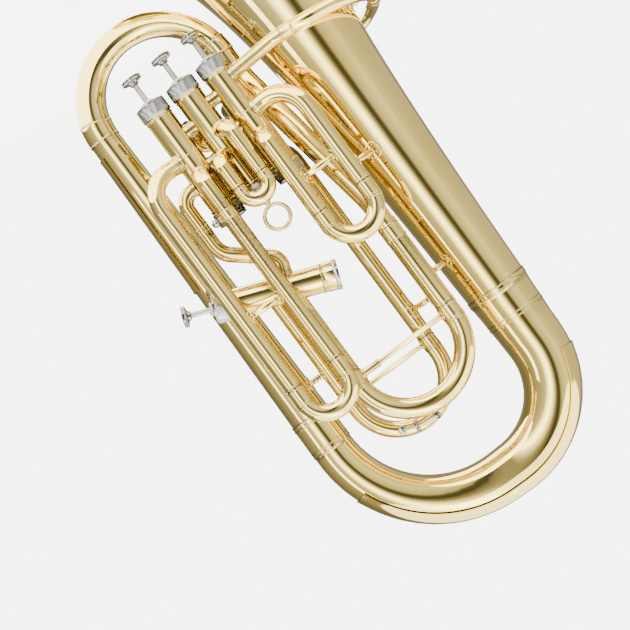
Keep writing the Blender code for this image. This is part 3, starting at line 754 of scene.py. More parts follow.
def guard(name, centres, outward, radii, half_angle, node):
    """A sheet over part of a tube, thicker along its edges, closed underneath."""
    across = GUARD_COLUMNS
    rows = len(centres)
    verts = []
    for thick in (0.0, GUARD_SHEET):
        for row, (centre, out, radius) in enumerate(zip(centres, outward, radii)):
            from_end = min(row, rows - 1 - row)
            for i in range(across + 1):
                share = 2 * i / across - 1
                angle = half_angle * share
                nearness = max(1 - (1 - abs(share)) * across / 2, 1 - from_end / 1.5, 0)
                fold = GUARD_FOLD * nearness if thick else 0.0
                spot = out * math.cos(angle) + Vector((0, 1, 0)) * math.sin(angle)
                verts.append(centre + spot * (radius + GUARD_LIFT + thick + fold))
    wide = across + 1
    top = rows * wide
    faces = []
    for row in range(rows - 1):
        for i in range(across):
            a = row * wide + i
            faces.append((a, a + 1, a + wide + 1, a + wide))
            faces.append((top + a, top + a + wide, top + a + wide + 1, top + a + 1))
    rim = list(range(wide)) + [row * wide + across for row in range(1, rows)]
    rim += [(rows - 1) * wide + i for i in range(across - 1, -1, -1)]
    rim += [row * wide for row in range(rows - 2, 0, -1)]
    for a, b in zip(rim, rim[1:] + rim[:1]):
        faces.append((a, b, top + b, top + a))
    mesh = bpy.data.meshes.new(name)
    mesh.from_pydata(verts, [], faces)
    mark_seams(mesh, [0.0] * len(verts))
    finished(name, mesh, guard_brass, "instrument", (node,), 50)


def branch_radius(z):
    """The outer branch narrows evenly from its foot to its top."""
    share = (z - branch_low.z) / branch_run
    return branch_top_r + (branch_foot_r - branch_top_r) * share


ROWS = 70
GUARD_FROM_Z = 0.565
GUARD_LIFT = 0.0004
guard_from = bell_leg + (GUARD_FROM_Z - BOW_SPRING_Z)
guard_to = bow_end - branch_leg - (GUARD_FROM_Z - BOW_SPRING_Z)
guard_runs = [guard_from + (guard_to - guard_from) * i / ROWS for i in range(ROWS + 1)]
sections = [bow_line.section(run) for run in guard_runs]
guard(
    "bow_guard_plate",
    [centre for centre, _, _, _ in sections],
    [Vector((-tangent.z, 0, tangent.x)) for _, tangent, _, _ in sections],
    [bow_radius(run) for run in guard_runs],
    math.radians(62),
    "bow_guard",
)
HAND_ROWS = 40
hand_low, hand_high, _ = span("branch_guard")
hand_heights = [hand_low.z + (hand_high.z - hand_low.z) * i / HAND_ROWS for i in range(HAND_ROWS + 1)]
guard(
    "branch_guard_plate",
    [Vector((branch_x, 0, z)) for z in hand_heights],
    [Vector((1, 0, 0))] * len(hand_heights),
    [branch_radius(z) for z in hand_heights],
    math.radians(48),
    "branch_guard",
)
print("guards: bow", len(guard_runs), "rows, hand", len(hand_heights), "rows")

# %% [markdown]
# ## The valves
# Each valve is a honed piston in a drawn brass casing, closed by two screwed nickel caps. A stem
# runs out through the top cap to a finger button with a felt ring under it. The four are the
# same, except that the side valve is shorter and lies across the other tubes. One function
# makes a valve along any line, so the side valve only needs its own line.

# %% Turned shapes along a line
def along_line(start, along, pairs):
    """A straight line and a profile on it, from pairs of height and radius measured from start."""
    heights = [height for height, _ in pairs]
    low, high = min(heights) - 0.001, max(heights) + 0.001
    line = [start + along * low, start + along * high]
    return line, [(height - low, max(radius, CLOSED)) for height, radius in pairs]


def lathe(name, start, along, pairs, finish, body, replaces=(), slot="lacquered_brass", **shape):
    line, profile = along_line(start, along, pairs)
    return sweep(name, line, profile, finish, body, replaces, slot, **shape)


def nickel_lathe(name, start, along, pairs, body, replaces=(), **shape):
    return lathe(name, start, along, pairs, nickel, body, replaces, "nickel_silver", **shape)


TEETH = 60
KNURL_DEPTH = 0.00028


def knurled(name, start, along, low, high, radius, replaces, bore=0.0035):
    """A screw cap: a cup whose rim has fine ridges, with a hole in the middle of its plate."""
    sides = TEETH * 4
    normal = along.orthogonal().normalized()
    over = along.cross(normal)
    step = 1 if high > low else -1
    edge = 0.0007 * step
    plate = high - 0.0022 * step
    profile = [
        (high, bore), (high, radius - 0.0010), (high - edge * 0.4, radius - 0.0004),
        (high - edge, radius), (high - edge * 2, radius), (high - edge * 2.4, radius - 0.0005),
        (high - edge * 3.0, radius - 0.0005), (high - edge * 3.4, radius), (low + edge, radius),
        (low, radius - 0.0006), (low, radius - 0.0011), (plate, radius - 0.0013), (plate, bore),
    ]
    ridged, soiled = (7, 8), (10, 11)
    verts, faces, dirt = [], [], []
    for index, (height, reach) in enumerate(profile):
        for k in range(sides):
            angle = 2 * math.pi * k / sides
            dip = KNURL_DEPTH * (0.5 - 0.5 * math.cos(TEETH * angle)) if index in ridged else 0.0
            spot = normal * math.cos(angle) + over * math.sin(angle)
            verts.append(start + along * height + spot * (reach - dip))
            dirt.append(0.4 if index in soiled else 0.0)
        faces += ring_faces(index * sides, (index + 1) % len(profile) * sides, sides)
    mesh = bpy.data.meshes.new(name)
    mesh.from_pydata(verts, [], faces)
    mark_seams(mesh, dirt)
    finished(name, mesh, nickel, "instrument", replaces, 40)


# %% One whole valve
CASING_R = 0.0135
CAP_R = 0.0150
STEM_R = 0.0026
STEM_LENGTH = 0.0300
BUTTON_R = 0.0103
PISTON_R = 0.0118
PISTON_TOP, PISTON_FOOT = 0.0025, 0.0775
SPRING_TURNS, SPRING_R, SPRING_WIRE_R = 9, 0.0090, 0.0006


def make_casing(number, start, along, length):
    """The tube with its two thread shoulders, and the two caps screwed on it."""
    is_side_valve = number == 4
    under_cap = CASING_R - 0.0002
    casing = [(0.0006, 0.0), (0.0006, under_cap), (0.0062, under_cap)]
    casing += raised_line(0.0085, CASING_R, 0.0007, 0.0012)
    casing += [(0.0102, CASING_R)]
    if not is_side_valve:
        casing += raised_line(length * 0.5 - 0.006, CASING_R, 0.0003, 0.0006)
    casing += [(length - 0.0102, CASING_R)]
    casing += raised_line(length - 0.0085, CASING_R, 0.0007, 0.0012)
    casing += [(length - 0.0062, under_cap), (length - 0.0006, under_cap), (length - 0.0006, 0.0)]
    lathe(
        f"valve_casing_{number}_tube", start, along, casing, brass, "instrument",
        (f"valve_casing_{number}",), sides=72, seams=(0.0100, length - 0.0080),
    )
    knurled(
        f"top_cap_{number}_nickel", start, along, 0.0060, -0.0078, CAP_R,
        (f"top_cap_{number}",), STEM_R + 0.0009,
    )
    cap_from = length + (0.0030 if is_side_valve else -0.0060)
    cap_r = CAP_R - (0.0002 if is_side_valve else 0.0)
    knurled(
        f"bottom_cap_{number}_nickel", start, along, cap_from, length + 0.0078, cap_r,
        (f"bottom_cap_{number}",),
    )
    if is_side_valve:
        low, high = length - 0.0062, length + 0.0034
        inner, outer = CASING_R - 0.0004, CASING_R + 0.0007
        skirt = [(low, inner), (low, outer - 0.0002), (low + 0.0006, outer), (high, outer), (high, inner)]
        lathe("side_valve_skirt", start, along, skirt, brass, "instrument", sides=72, looped=True)


def make_piston(number, start, along):
    """The piston with the grooves round its port bands, its stem, its felt and its button."""
    body = f"valve_{number}"
    groove = PISTON_R - 0.0003
    piston = [(PISTON_FOOT, 0.0), (PISTON_FOOT, PISTON_R - 0.0006), (PISTON_FOOT - 0.0006, PISTON_R)]
    for share in (0.80, 0.52, 0.24):
        middle = PISTON_TOP + (PISTON_FOOT - PISTON_TOP) * share
        piston += [(middle + 0.0030, PISTON_R), (middle + 0.0026, groove)]
        piston += [(middle - 0.0026, groove), (middle - 0.0030, PISTON_R)]
    piston += [(PISTON_TOP + 0.0006, PISTON_R), (PISTON_TOP, PISTON_R - 0.0006), (PISTON_TOP, 0.0048)]
    piston += [(-0.0002, STEM_R), (0.0004 - STEM_LENGTH, STEM_R)]
    piston += [(-STEM_LENGTH, STEM_R - 0.0003), (-STEM_LENGTH, 0.0)]
    lathe(
        f"piston_{number}_honed", start, along, piston, honed, body, (f"piston_{number}",),
        "piston_metal", sides=48,
    )
    felt_ring = [(-0.0086, STEM_R + 0.0002), (-0.0086, 0.0062), (-0.0092, 0.0066)]
    felt_ring += [(-0.0104, 0.0066), (-0.0110, 0.0062), (-0.0110, STEM_R + 0.0002)]
    lathe(
        f"felt_{number}", start, along, felt_ring, felt, "instrument", (), "nickel_silver",
        sides=40, looped=True,
    )
    button = [
        (0.0, 0.0), (0.0, 0.0040), (-0.0006, 0.0046), (-0.0022, 0.0048), (-0.0030, 0.0062),
        (-0.0036, 0.0088), (-0.0038, BUTTON_R - 0.0006), (-0.0042, BUTTON_R),
        (-0.0050, BUTTON_R - 0.0001), (-0.0053, BUTTON_R - 0.0006), (-0.0058, BUTTON_R - 0.0006),
        (-0.0061, BUTTON_R - 0.0001), (-0.0070, BUTTON_R), (-0.0076, BUTTON_R - 0.0004),
        (-0.0080, BUTTON_R - 0.0014), (-0.0079, BUTTON_R - 0.0026), (-0.0074, BUTTON_R - 0.0040),
        (-0.0071, 0.0030), (-0.0070, 0.0),
    ]
    button = [(height - STEM_LENGTH, radius) for height, radius in button]
    nickel_lathe(f"button_{number}_nickel", start, along, button, body, (f"button_{number}",), sides=64)


def make_spring(number, start, along, length):
    """A coil from the piston's foot to the bottom cap."""
    low, high = PISTON_FOOT + 0.0010, length - 0.0012
    normal = along.orthogonal().normalized()
    over = along.cross(normal)
    steps = SPRING_TURNS * 20
    coil = []
    for i in range(steps + 1):
        angle = 2 * math.pi * SPRING_TURNS * i / steps
        spot = (normal * math.cos(angle) + over * math.sin(angle)) * SPRING_R
        coil.append(start + along * (low + (high - low) * i / steps) + spot)
    line = CentreLine(coil)
    wire = [(0.0, CLOSED), (0.0, SPRING_WIRE_R), (line.length, SPRING_WIRE_R), (line.length, CLOSED)]
    spring = sweep(
        f"spring_{number}_wire", line, wire, spring_wire, "instrument",
        (f"valve_spring_{number}",), "spring_steel", sides=8,
    )
    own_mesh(spring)


def make_valve(number, start, along, length):
    make_casing(number, start, along, length)
    make_piston(number, start, along)
    make_spring(number, start, along, length)


UP = Vector((0, 0, 1))
valve_at = {}
for number in (1, 2, 3):
    low, high, mid = span(f"valve_casing_{number}")
    valve_at[number] = Vector((mid.x, mid.y, 0))
    make_valve(number, Vector((mid.x, mid.y, low.z)), UP, high.z - low.z)
side_joint = next(j for j in frame["joints"] if j["name"] == "valve_4_press")
side_along = Vector(side_joint["axis"]).normalized()
side_low, side_high, side_mid = span("valve_casing_4")
slope = math.atan2(side_along.z, -side_along.x)
side_length = (side_high.x - side_low.x - 2 * CASING_R * math.sin(slope)) / math.cos(slope)
make_valve(4, side_mid - side_along * side_length / 2, side_along, side_length)
print("side valve:", round(1000 * side_length), "mm long, leaning", round(math.degrees(slope), 1), "degrees")

# %% [markdown]
# ## Slides
# A tuning slide is a bent brass tube with two straight nickel silver legs, which run in two
# fixed sleeves. Drawing it out lengthens the air's path and lowers the note. Each sleeve is
# really hollow here down to where the leg reaches, so nothing looks wrong when a slide is
# pulled. The bend and the legs are two pieces with their own metals, and both ride on the slide.

# %% The five sliding bends
SLEEVE_WALL = 0.0012
LEG_WALL = 0.0012
slides = {}
for name in ("main_slide", "slide_1", "slide_2", "slide_3", "slide_4"):
    low, high, mid = span(name)
    tube_r = (high.y - low.y) / 2
    near_x, far_x = low.x + tube_r, high.x - tube_r
    bend_r = (far_x - near_x) / 2
    bend_z = high.z - tube_r - bend_r
    stop_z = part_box(f"{name}_sleeve_near")[1].z + 0.0003
    slides[name] = dict(
        near=near_x, far=far_x, y=mid.y, r=tube_r, bend=bend_r, bend_z=bend_z, stop=stop_z, leg_z=low.z,
    )


def make_slide(name, ring_gap):
    s = slides[name]
    crown = s["bend_z"] + s["bend"]
    corners = [
        Vector((s["near"], s["y"], s["stop"])), Vector((s["near"], s["y"], crown)),
        Vector((s["far"], s["y"], crown)), Vector((s["far"], s["y"], s["stop"])),
    ]
    line = CentreLine(bent(corners, [s["bend"]] * 2))
    r = s["r"]
    straight = s["bend_z"] - s["stop"]
    first = max(straight - 0.0022, ring_gap + 0.004)
    profile = [(0.0, CLOSED), (0.0, r - 0.0004), (0.0003, r)]
    profile += raised_line(0.0016, r, 0.0004, 0.0007)
    profile += double_line(0.0018 + ring_gap, 0.0022, r, 0.0001)
    profile += [(first + 0.004, r - 0.0001)]
    end = line.length
    profile += [(end - first - 0.004, r - 0.0001)]
    profile += double_line(end - 0.0018 - ring_gap, 0.0022, r, 0.0001)
    profile += raised_line(end - 0.0016, r, 0.0004, 0.0007)
    profile += [(end - 0.0003, r), (end, r - 0.0004), (end, CLOSED)]
    seams = (0.0018 + ring_gap + 0.0015, end - 0.0018 - ring_gap - 0.0015)
    sweep(f"{name}_bend", line, profile, brass, name, (name,), sides=56, seams=seams)
    leg_r = r - SLEEVE_WALL - 0.0002
    for side in ("near", "far"):
        foot = Vector((s[side], s["y"], s["leg_z"]))
        run = s["stop"] + 0.004 - s["leg_z"]
        leg = [(0.0, leg_r - LEG_WALL), (0.0, leg_r - 0.0004), (0.0005, leg_r)]
        leg += [(run, leg_r), (run, leg_r - LEG_WALL), (0.0030, leg_r - LEG_WALL)]
        lathe(
            f"{name}_leg_{side}", foot, UP, leg, slide_nickel, name, (), "nickel_silver",
            sides=48, looped=True,
        )


RING_GAPS = {"main_slide": 0.0138, "slide_1": 0.0146, "slide_2": 0.0058, "slide_3": 0.0154, "slide_4": 0.0100}
for name, ring_gap in RING_GAPS.items():
    make_slide(name, ring_gap)
    s = slides[name]
    apart = s["far"] - s["near"]
    print(name, "legs", round(1000 * apart, 1), "mm apart, tube", round(2000 * s["r"], 1), "mm")

# %% [markdown]
# ## Sleeves
# A sleeve starts as a wide tube at the slide's stop, runs down past the valves, and turns into a
# valve casing through a short knuckle. Where it meets the casing it has a raised collar. The
# same corners as the frame's plain sleeve are worked out from its box, and the last stretch is
# carried a little into the casing, so the joint shows no gap.

# %% The fixed sleeves
screw_low, _, screw_mid = span("thumb_screw")
INTO_CASING = 0.0016
DEPTHS = {"main_slide": 0.062, "slide_1": 0.054, "slide_2": 0.022, "slide_3": 0.064, "slide_4": 0.059}


def make_sleeve(name, side, valve, port_z, bend, collar_z=None):
    """From the port to the slide's stop; collar_z is the height of a collar on the way."""
    s = slides[name]
    r = s["r"]
    x = s[side]
    centre = valve_at[valve]
    aim_at = Vector((x - centre.x, s["y"] - centre.y, 0)).normalized()
    port = Vector((centre.x, centre.y, port_z)) + aim_at * (CASING_R - INTO_CASING)
    corners = [port, Vector((x, s["y"], port_z)), Vector((x, s["y"], s["stop"] - 0.0003))]
    line = CentreLine(bent(corners, [bend]))
    run = line.length
    profile = [(0.0, CLOSED), (0.0, r + 0.0006), (INTO_CASING + 0.0012, r + 0.0006)]
    profile += [(INTO_CASING + 0.0018, r + 0.0003), (INTO_CASING + 0.0024, r)]
    if collar_z:
        profile += ferrule(run - (s["stop"] - 0.0003 - collar_z), 0.0085, r, 0.0004)
    profile += raised_line(run - 0.0014, r, 0.0004, 0.0007)
    profile += open_end(run, r, r - SLEEVE_WALL, DEPTHS[name])
    profile += [(run - DEPTHS[name], CLOSED)]
    node = f"{name}_sleeve_{side}"
    seams = (INTO_CASING + 0.002, run - 0.0105)
    brass_tube(f"{node}_tube", line, profile, (node,), sides=48, seams=seams)


def port_height(node, tube_r):
    """Height of the middle of a sleeve's lowest run, which ends at a valve."""
    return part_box(node)[0].z + tube_r


for name, side, valve, bend in (
    ("slide_1", "near", 1, 0.030), ("slide_1", "far", 1, 0.012), ("slide_2", "near", 2, 0.012),
    ("slide_2", "far", 2, 0.012), ("slide_3", "near", 3, 0.012), ("slide_3", "far", 3, 0.030),
    ("slide_4", "near", 1, 0.012),
):
    collar_z = screw_mid.z if (name, side) == ("slide_3", "near") else None
    make_sleeve(name, side, valve, port_height(f"{name}_sleeve_{side}", slides[name]["r"]), bend, collar_z)
for name in ("slide_1_sleeve_near", "slide_3_sleeve_near", "slide_4_sleeve_near"):
    print(name, "port at", round(1000 * port_height(name, slides[name[:7]]["r"]), 1), "mm")

# %% [markdown]
# ## Sleeves that meet the side valve
# The side valve lies across the tubes, so three of them end on it: the fourth slide's far
# sleeve comes in from behind, the main slide's far sleeve stands on top of it, and the transfer
# tube from the third valve comes up from below. The height of the valve's axis at any x comes
# from its line, so each of the three is aimed at the line and not at a fixed point.

# %% Two sleeves on the side valve, and one under the bell
def side_axis_z(x):
    """Height of the side valve's axis at this x."""
    return side_mid.z + (x - side_mid.x) * side_along.z / side_along.x


def finish_sleeve(name, side, corners, bends, start_flare):
    s = slides[name]
    r = s["r"]
    line = CentreLine(bent(corners + [Vector((s[side], s["y"], s["stop"] - 0.0003))], bends))
    run = line.length
    profile = [(0.0, CLOSED), (0.0, r + start_flare), (INTO_CASING + 0.0012, r + start_flare)]
    profile += [(INTO_CASING + 0.0018, r + start_flare / 2), (INTO_CASING + 0.0024, r)]
    if side == "near":
        profile += ferrule(0.012, 0.014, r, 0.0004)
    profile += raised_line(run - 0.0014, r, 0.0004, 0.0007)
    profile += open_end(run, r, r - SLEEVE_WALL, DEPTHS[name])
    profile += [(run - DEPTHS[name], CLOSED)]
    node = f"{name}_sleeve_{side}"
    brass_tube(f"{node}_tube", line, profile, (node,), sides=56, seams=(0.002, run - 0.014))


fourth = slides["slide_4"]
far_z = side_axis_z(fourth["far"])
casing_back = side_mid.y + CASING_R - INTO_CASING
finish_sleeve(
    "slide_4", "far",
    [Vector((fourth["far"], casing_back, far_z)), Vector((fourth["far"], fourth["y"], far_z))],
    [0.0140], 0.0006,
)
main = slides["main_slide"]
casing_top = side_axis_z(main["far"]) + (CASING_R - INTO_CASING) / math.cos(slope)
casing_top -= main["r"] * math.tan(slope)
finish_sleeve("main_slide", "far", [Vector((main["far"], main["y"], casing_top))], [], 0.0)
finish_sleeve("main_slide", "near", [Vector((main["near"], main["y"], main_near_low.z - 0.0006))], [], 0.0004)

# %% The transfer tube, in three bends, with double rings at its two joints
TRANSFER_R = 0.0072
TRANSFER_LEAVES_Z, TRANSFER_TURNS_Z = 0.2430, 0.3060
leg_x = bell_mid.x + 0.1925
axis_x = bell_mid.x + 0.1600
square = Vector((side_along.z, 0, -side_along.x))
port = Vector((axis_x, side_mid.y, side_axis_z(axis_x)))
third = valve_at[3]
corners = [
    Vector((third.x + CASING_R - INTO_CASING, third.y, TRANSFER_LEAVES_Z)),
    Vector((leg_x, third.y, TRANSFER_LEAVES_Z)),
    Vector((leg_x, third.y, TRANSFER_TURNS_Z)),
    port - square * (CASING_R + 0.0166),
    port - square * (CASING_R - INTO_CASING),
]
transfer_line = CentreLine(bent(corners, [0.0140, 0.022, 0.013]))
run = transfer_line.length
wide = TRANSFER_R + 0.0005
transfer = [(0.0, CLOSED), (0.0, wide), (0.0030, wide), (0.0036, TRANSFER_R)]
for share in (0.33, 0.72):
    transfer += double_line(run * share, 0.0048, TRANSFER_R + 0.0002)
transfer += [(run - 0.0036, TRANSFER_R), (run - 0.0030, wide), (run, wide), (run, CLOSED)]
brass_tube(
    "transfer_tube_bent", transfer_line, transfer, ("transfer_tube",), sides=48,
    seams=(0.003, run * 0.33, run * 0.72, run - 0.003),
)
print("transfer tube:", round(1000 * run), "mm long")

# %% The compensating loops: the frame's long one at the back, and a short one nested under it
def back_loop(name, r, first_x, last_x, back_y, port_z, crown_z, bend, node=()):
    corners = [
        Vector((first_x, third.y + CASING_R - INTO_CASING, port_z)), Vector((first_x, back_y, port_z)),
        Vector((first_x, back_y, crown_z)), Vector((last_x, back_y, crown_z)),
        Vector((last_x, back_y, port_z)), Vector((last_x, third.y + 0.0105, port_z)),
    ]
    line = CentreLine(bent(corners, [0.012, bend, bend, 0.012]))
    run = line.length
    profile = [(0.0, CLOSED), (0.0, r)] + raised_line(0.0060, r, 0.0004, 0.0008)
    profile += double_line(run * 0.5, 0.0060, r + 0.0001) + raised_line(run - 0.0060, r, 0.0004, 0.0008)
    profile += [(run, r), (run, CLOSED)]
    brass_tube(name, line, profile, node, sides=40, seams=(0.004, run * 0.5, run - 0.004))


first = valve_at[1]
back_loop(
    "compensating_loop_tube", 0.0062, third.x, first.x + 0.012, back_y=0.004, port_z=0.200,
    crown_z=0.262, bend=0.022, node=("compensating_loop",),
)
back_loop(
    "compensating_loop_short", 0.0056, third.x - 0.0165, valve_at[2].x - 0.006, back_y=-0.0075,
    port_z=0.190, crown_z=0.2150, bend=0.0080,
)

# %% The knuckles between neighbouring casings
KNUCKLE_R = 0.0066
for pair, heights in (((1, 2), (0.186, 0.2210)), ((2, 3), (0.196, 0.2330))):
    for height in heights:
        left = valve_at[pair[0]] + Vector((CASING_R - INTO_CASING, 0, height))
        gap = valve_at[pair[1]].x - valve_at[pair[0]].x - 2 * (CASING_R - INTO_CASING)
        flare = KNUCKLE_R + 0.0005
        profile = [(0.0, CLOSED), (0.0, flare), (0.0034, flare), (0.0038, KNUCKLE_R)]
        profile += [(gap - 0.0038, KNUCKLE_R), (gap - 0.0034, flare), (gap, flare), (gap, CLOSED)]
        lathe(
            f"knuckle_{pair[0]}{pair[1]}_{round(height * 1000)}", left, Vector((1, 0, 0)), profile, brass,
            "instrument", sides=40, seams=(0.004, gap - 0.002),
        )

# %% [markdown]
# ## Leadpipe, receiver and mouthpiece
# The leadpipe widens from the receiver to the first valve. It wraps round the bell, so that the
# mouthpiece comes to the player's lips with the valves under the right hand. Round the bell it
# is a rising circle, and at its end it runs straight into the receiver, a socket with a taper
# that holds the mouthpiece's shank. The cup's edge is wide and round, as lips press on it.

# %% Wrap the leadpipe
WRAP_R = 0.070
WRAP_STEPS = 60
low_z, high_z = 0.178, 0.205
first_angle, last_angle = math.radians(-58), math.radians(-250)
aim_at = Vector((bell_mid.x + 0.045 - first.x, -0.058 - first.y, 0)).normalized()
wrap = [Vector((first.x, first.y, low_z)) + aim_at * (CASING_R - INTO_CASING)]
for i in range(WRAP_STEPS + 1):
    angle = first_angle + (last_angle - first_angle) * i / WRAP_STEPS
    ring_point = Vector((math.cos(angle), math.sin(angle), 0)) * WRAP_R
    wrap.append(bell_axis(low_z + (high_z - low_z) * i / WRAP_STEPS) + ring_point)
pipe_along = Vector((math.sin(last_angle), -math.cos(last_angle), 0))
pipe_end = wrap[-1] + pipe_along * 0.024
pipe_line = CentreLine(wrap + [pipe_end])
run = pipe_line.length
wide, narrow = 0.0068, 0.0058
pipe = [(0.0, CLOSED), (0.0, wide + 0.0006), (0.0034, wide + 0.0006), (0.0040, wide)]
for share in (0.22, 0.62):
    pipe += ferrule(run * share, 0.011, wide + (narrow - wide) * share, 0.0003)
pipe += [(run - 0.0020, narrow), (run, narrow), (run, CLOSED)]
brass_tube(
    "leadpipe_wrapped", pipe_line, pipe, ("leadpipe",), sides=40,
    seams=(0.004, run * 0.22 - 0.006, run * 0.62 + 0.006),
)
print("leadpipe:", round(1000 * run), "mm long")

# %% Turn the receiver and the mouthpiece
receiver_at = pipe_end + pipe_along * 0.0003
receiver = [(-0.0060, 0.0059), (-0.0060, 0.0068), (0.0, 0.0070), (0.0014, 0.0078)]
receiver += raised_line(0.0040, 0.0078, 0.0005, 0.0009)
receiver += [(0.0070, 0.0078), (0.0300, 0.0080)]
receiver += raised_line(0.0360, 0.0080, 0.0004, 0.0008)
receiver += [(0.0420, 0.0081), (0.0424, 0.0089), (0.0474, 0.0090), (0.0480, 0.0086), (0.0480, 0.0072)]
receiver += [(0.0476, 0.0067), (0.0240, 0.0066), (0.0230, 0.0059)]
nickel_lathe(
    "receiver_turned", receiver_at, pipe_along, receiver, "instrument", ("mouthpiece_receiver",),
    sides=56, looped=True,
)
length, tip = 0.048, 0.048 + 0.068
mouth = [
    (tip - 0.0006, 0.0140), (tip - 0.0001, 0.0152), (tip, 0.0168), (tip - 0.0004, 0.0184),
    (tip - 0.0014, 0.0194),
    (tip - 0.0028, 0.0198), (tip - 0.0042, 0.0193), (tip - 0.0052, 0.0184), (tip - 0.0062, 0.0179),
    (tip - 0.0075, 0.0180), (tip - 0.0120, 0.0176), (tip - 0.0180, 0.0165), (tip - 0.0240, 0.0143),
    (tip - 0.0290, 0.0120), (tip - 0.0330, 0.0102), (tip - 0.0360, 0.0093), (tip - 0.0366, 0.0099),
    (tip - 0.0378, 0.0099), (tip - 0.0384, 0.0086), (tip - 0.0430, 0.0068), (length + 0.0040, 0.0063),
    (length + 0.0020, 0.0062), (length - 0.0220, 0.0056), (length - 0.0224, 0.0052),
    (length - 0.0220, 0.0042),
    (tip - 0.0360, 0.0033), (tip - 0.0330, 0.0038), (tip - 0.0270, 0.0073), (tip - 0.0200, 0.0103),
    (tip - 0.0120, 0.0122), (tip - 0.0060, 0.0131), (tip - 0.0020, 0.0135),
]
lathe(
    "mouthpiece_turned", receiver_at, pipe_along, mouth, silver, "mouthpiece", ("mouthpiece",),
    "silver_plate", sides=72, looped=True,
)

# %% [markdown]
# ## Braces
# Thin brass can't hold its own shape, so tubes are tied to each other with turned braces. Each
# is a slim baluster with a bead near both ends, soldered to a round saddle that is bent to fit
# the tube. A saddle is a disc laid on the tube: one direction of the disc runs along the tube
# and the other wraps round it, so an edge stays the same height above the brass all the way.

# %% A brace between two tubes
class Footing:
    """Where a brace meets a tube: a point on its axis, its direction, the way out and its radius."""

    def __init__(self, point, axis, out, radius):
        self.point = Vector(point)
        self.axis = Vector(axis).normalized()
        self.out = Vector(out).normalized()
        self.radius = radius if callable(radius) else (lambda offset: radius)

    @property
    def surface(self):
        return self.point + self.out * self.radius(0.0)


SADDLE_SIDES = 40
SADDLE_RINGS = (
    (0.04, 1.0), (0.45, 1.0), (0.82, 1.0), (0.88, 0.85), (0.93, 1.0), (0.98, 0.7), (1.0, 0.2), (1.0, -0.8),
    (0.55, -0.8), (0.04, -0.8),
)


def saddle_shell(footing, disc_r, lift):
    side = footing.axis.cross(footing.out)
    verts, faces = [], []
    for share, height in SADDLE_RINGS:
        for k in range(SADDLE_SIDES):
            angle = 2 * math.pi * k / SADDLE_SIDES
            offset = share * disc_r * math.cos(angle)
            radius = footing.radius(offset)
            around = share * disc_r * math.sin(angle) / radius
            way = footing.out * math.cos(around) + side * math.sin(around)
            verts.append(footing.point + footing.axis * offset + way * (radius + lift * height))
    last = len(SADDLE_RINGS) - 1
    for i in range(last):
        faces += ring_faces(i * SADDLE_SIDES, (i + 1) * SADDLE_SIDES, SADDLE_SIDES)
    faces.append(tuple(reversed(range(SADDLE_SIDES))))
    faces.append(tuple(range(last * SADDLE_SIDES, (last + 1) * SADDLE_SIDES)))
    return verts, faces


def baluster(length, rod_r, sunk):
    """Profile from one surface to the other: foot, bead, swelling rod, bead, foot."""
    bead_at = min(0.0030, length * 0.22)
    half = min(0.0009, length * 0.09)
    neck = rod_r * 0.62
    start = [
        (-sunk, CLOSED), (-sunk, rod_r * 1.15), (0.0007, rod_r * 1.15), (0.0010, neck),
        (bead_at * 0.6, neck),
    ]
    start += raised_line(bead_at, neck, rod_r * 0.34, half)
    low, high = bead_at + half * 1.5, length - bead_at - half * 1.5
    swell = []
    for i in range(11):
        swell.append((low + (high - low) * i / 10, neck + rod_r * 0.38 * math.sin(math.pi * i / 10) ** 0.7))
    mirrored = [(length - run, r) for run, r in reversed(start)]
    return start + swell + mirrored


def socketed_rod(length, rod_r, sunk, socket=0.19):
    """A long plain rod whose last stretch sits in a wider socket with a collar at its mouth."""
    foot = [
        (-sunk, CLOSED), (-sunk, rod_r * 1.8), (0.0006, rod_r * 1.8), (0.0010, rod_r * 1.3),
        (0.0022, rod_r),
    ]
    mouth = length * (1 - socket)
    rod = [(mouth - 0.0016, rod_r), (mouth - 0.0012, rod_r * 1.35), (mouth - 0.0008, rod_r * 1.6)]
    rod += [(mouth + 0.0010, rod_r * 1.6), (mouth + 0.0014, rod_r * 1.38), (length - 0.0016, rod_r * 1.38)]
    rod += [(length - 0.0006, rod_r * 1.8), (length + sunk, rod_r * 1.8), (length + sunk, CLOSED)]
    return foot + rod


SADDLE_LIFT = 0.0006
ROD_SUNK = 0.0016


def brace(name, first_end, last_end, body, replaces=(), rod_r=0.0033, disc_r=0.0082, shape=baluster):
    along = last_end.surface - first_end.surface
    length = along.length
    along.normalize()
    pairs = shape(length, rod_r, ROD_SUNK)
    line, profile = along_line(first_end.surface, along, pairs)
    mesh = swept_mesh(name, line, profile, sides=24)
    shell = bmesh.new()
    shell.from_mesh(mesh)
    for footing in (first_end, last_end):
        verts, faces = saddle_shell(footing, disc_r, SADDLE_LIFT)
        made = [shell.verts.new(v) for v in verts]
        for face in faces:
            shell.faces.new([made[i] for i in face])
    shell.to_mesh(mesh)
    shell.free()
    return finished(name, mesh, brass, body, replaces)


def sleeve_footing(name, side, z, toward):
    s = slides[name]
    point = Vector((s[side], s["y"], z))
    out = Vector((toward.x - point.x, toward.y - point.y, 0))
    return Footing(point, (0, 0, 1), out, s["r"])


def leg_point(name, side, z):
    return Vector((slides[name][side], slides[name]["y"], z))


def bell_footing(z, out):
    return Footing(bell_axis(z), UP, out, lambda offset: bell_radius(z + offset))


# %% Braces to the bell and to the outer branch
for node, name, out in (
    ("bell_brace_upper", "slide_1", Vector((0.0199, -0.0344, 0)).normalized()),
    ("bell_brace_lower", "main_slide", None),
):
    z = span(node)[2].z
    bell_end = bell_footing(z, out or leg_point(name, "near", z) - bell_axis(z))
    brace(
        f"{node}_turned", sleeve_footing(name, "near", z, bell_end.surface), bell_end, "instrument", (node,),
    )

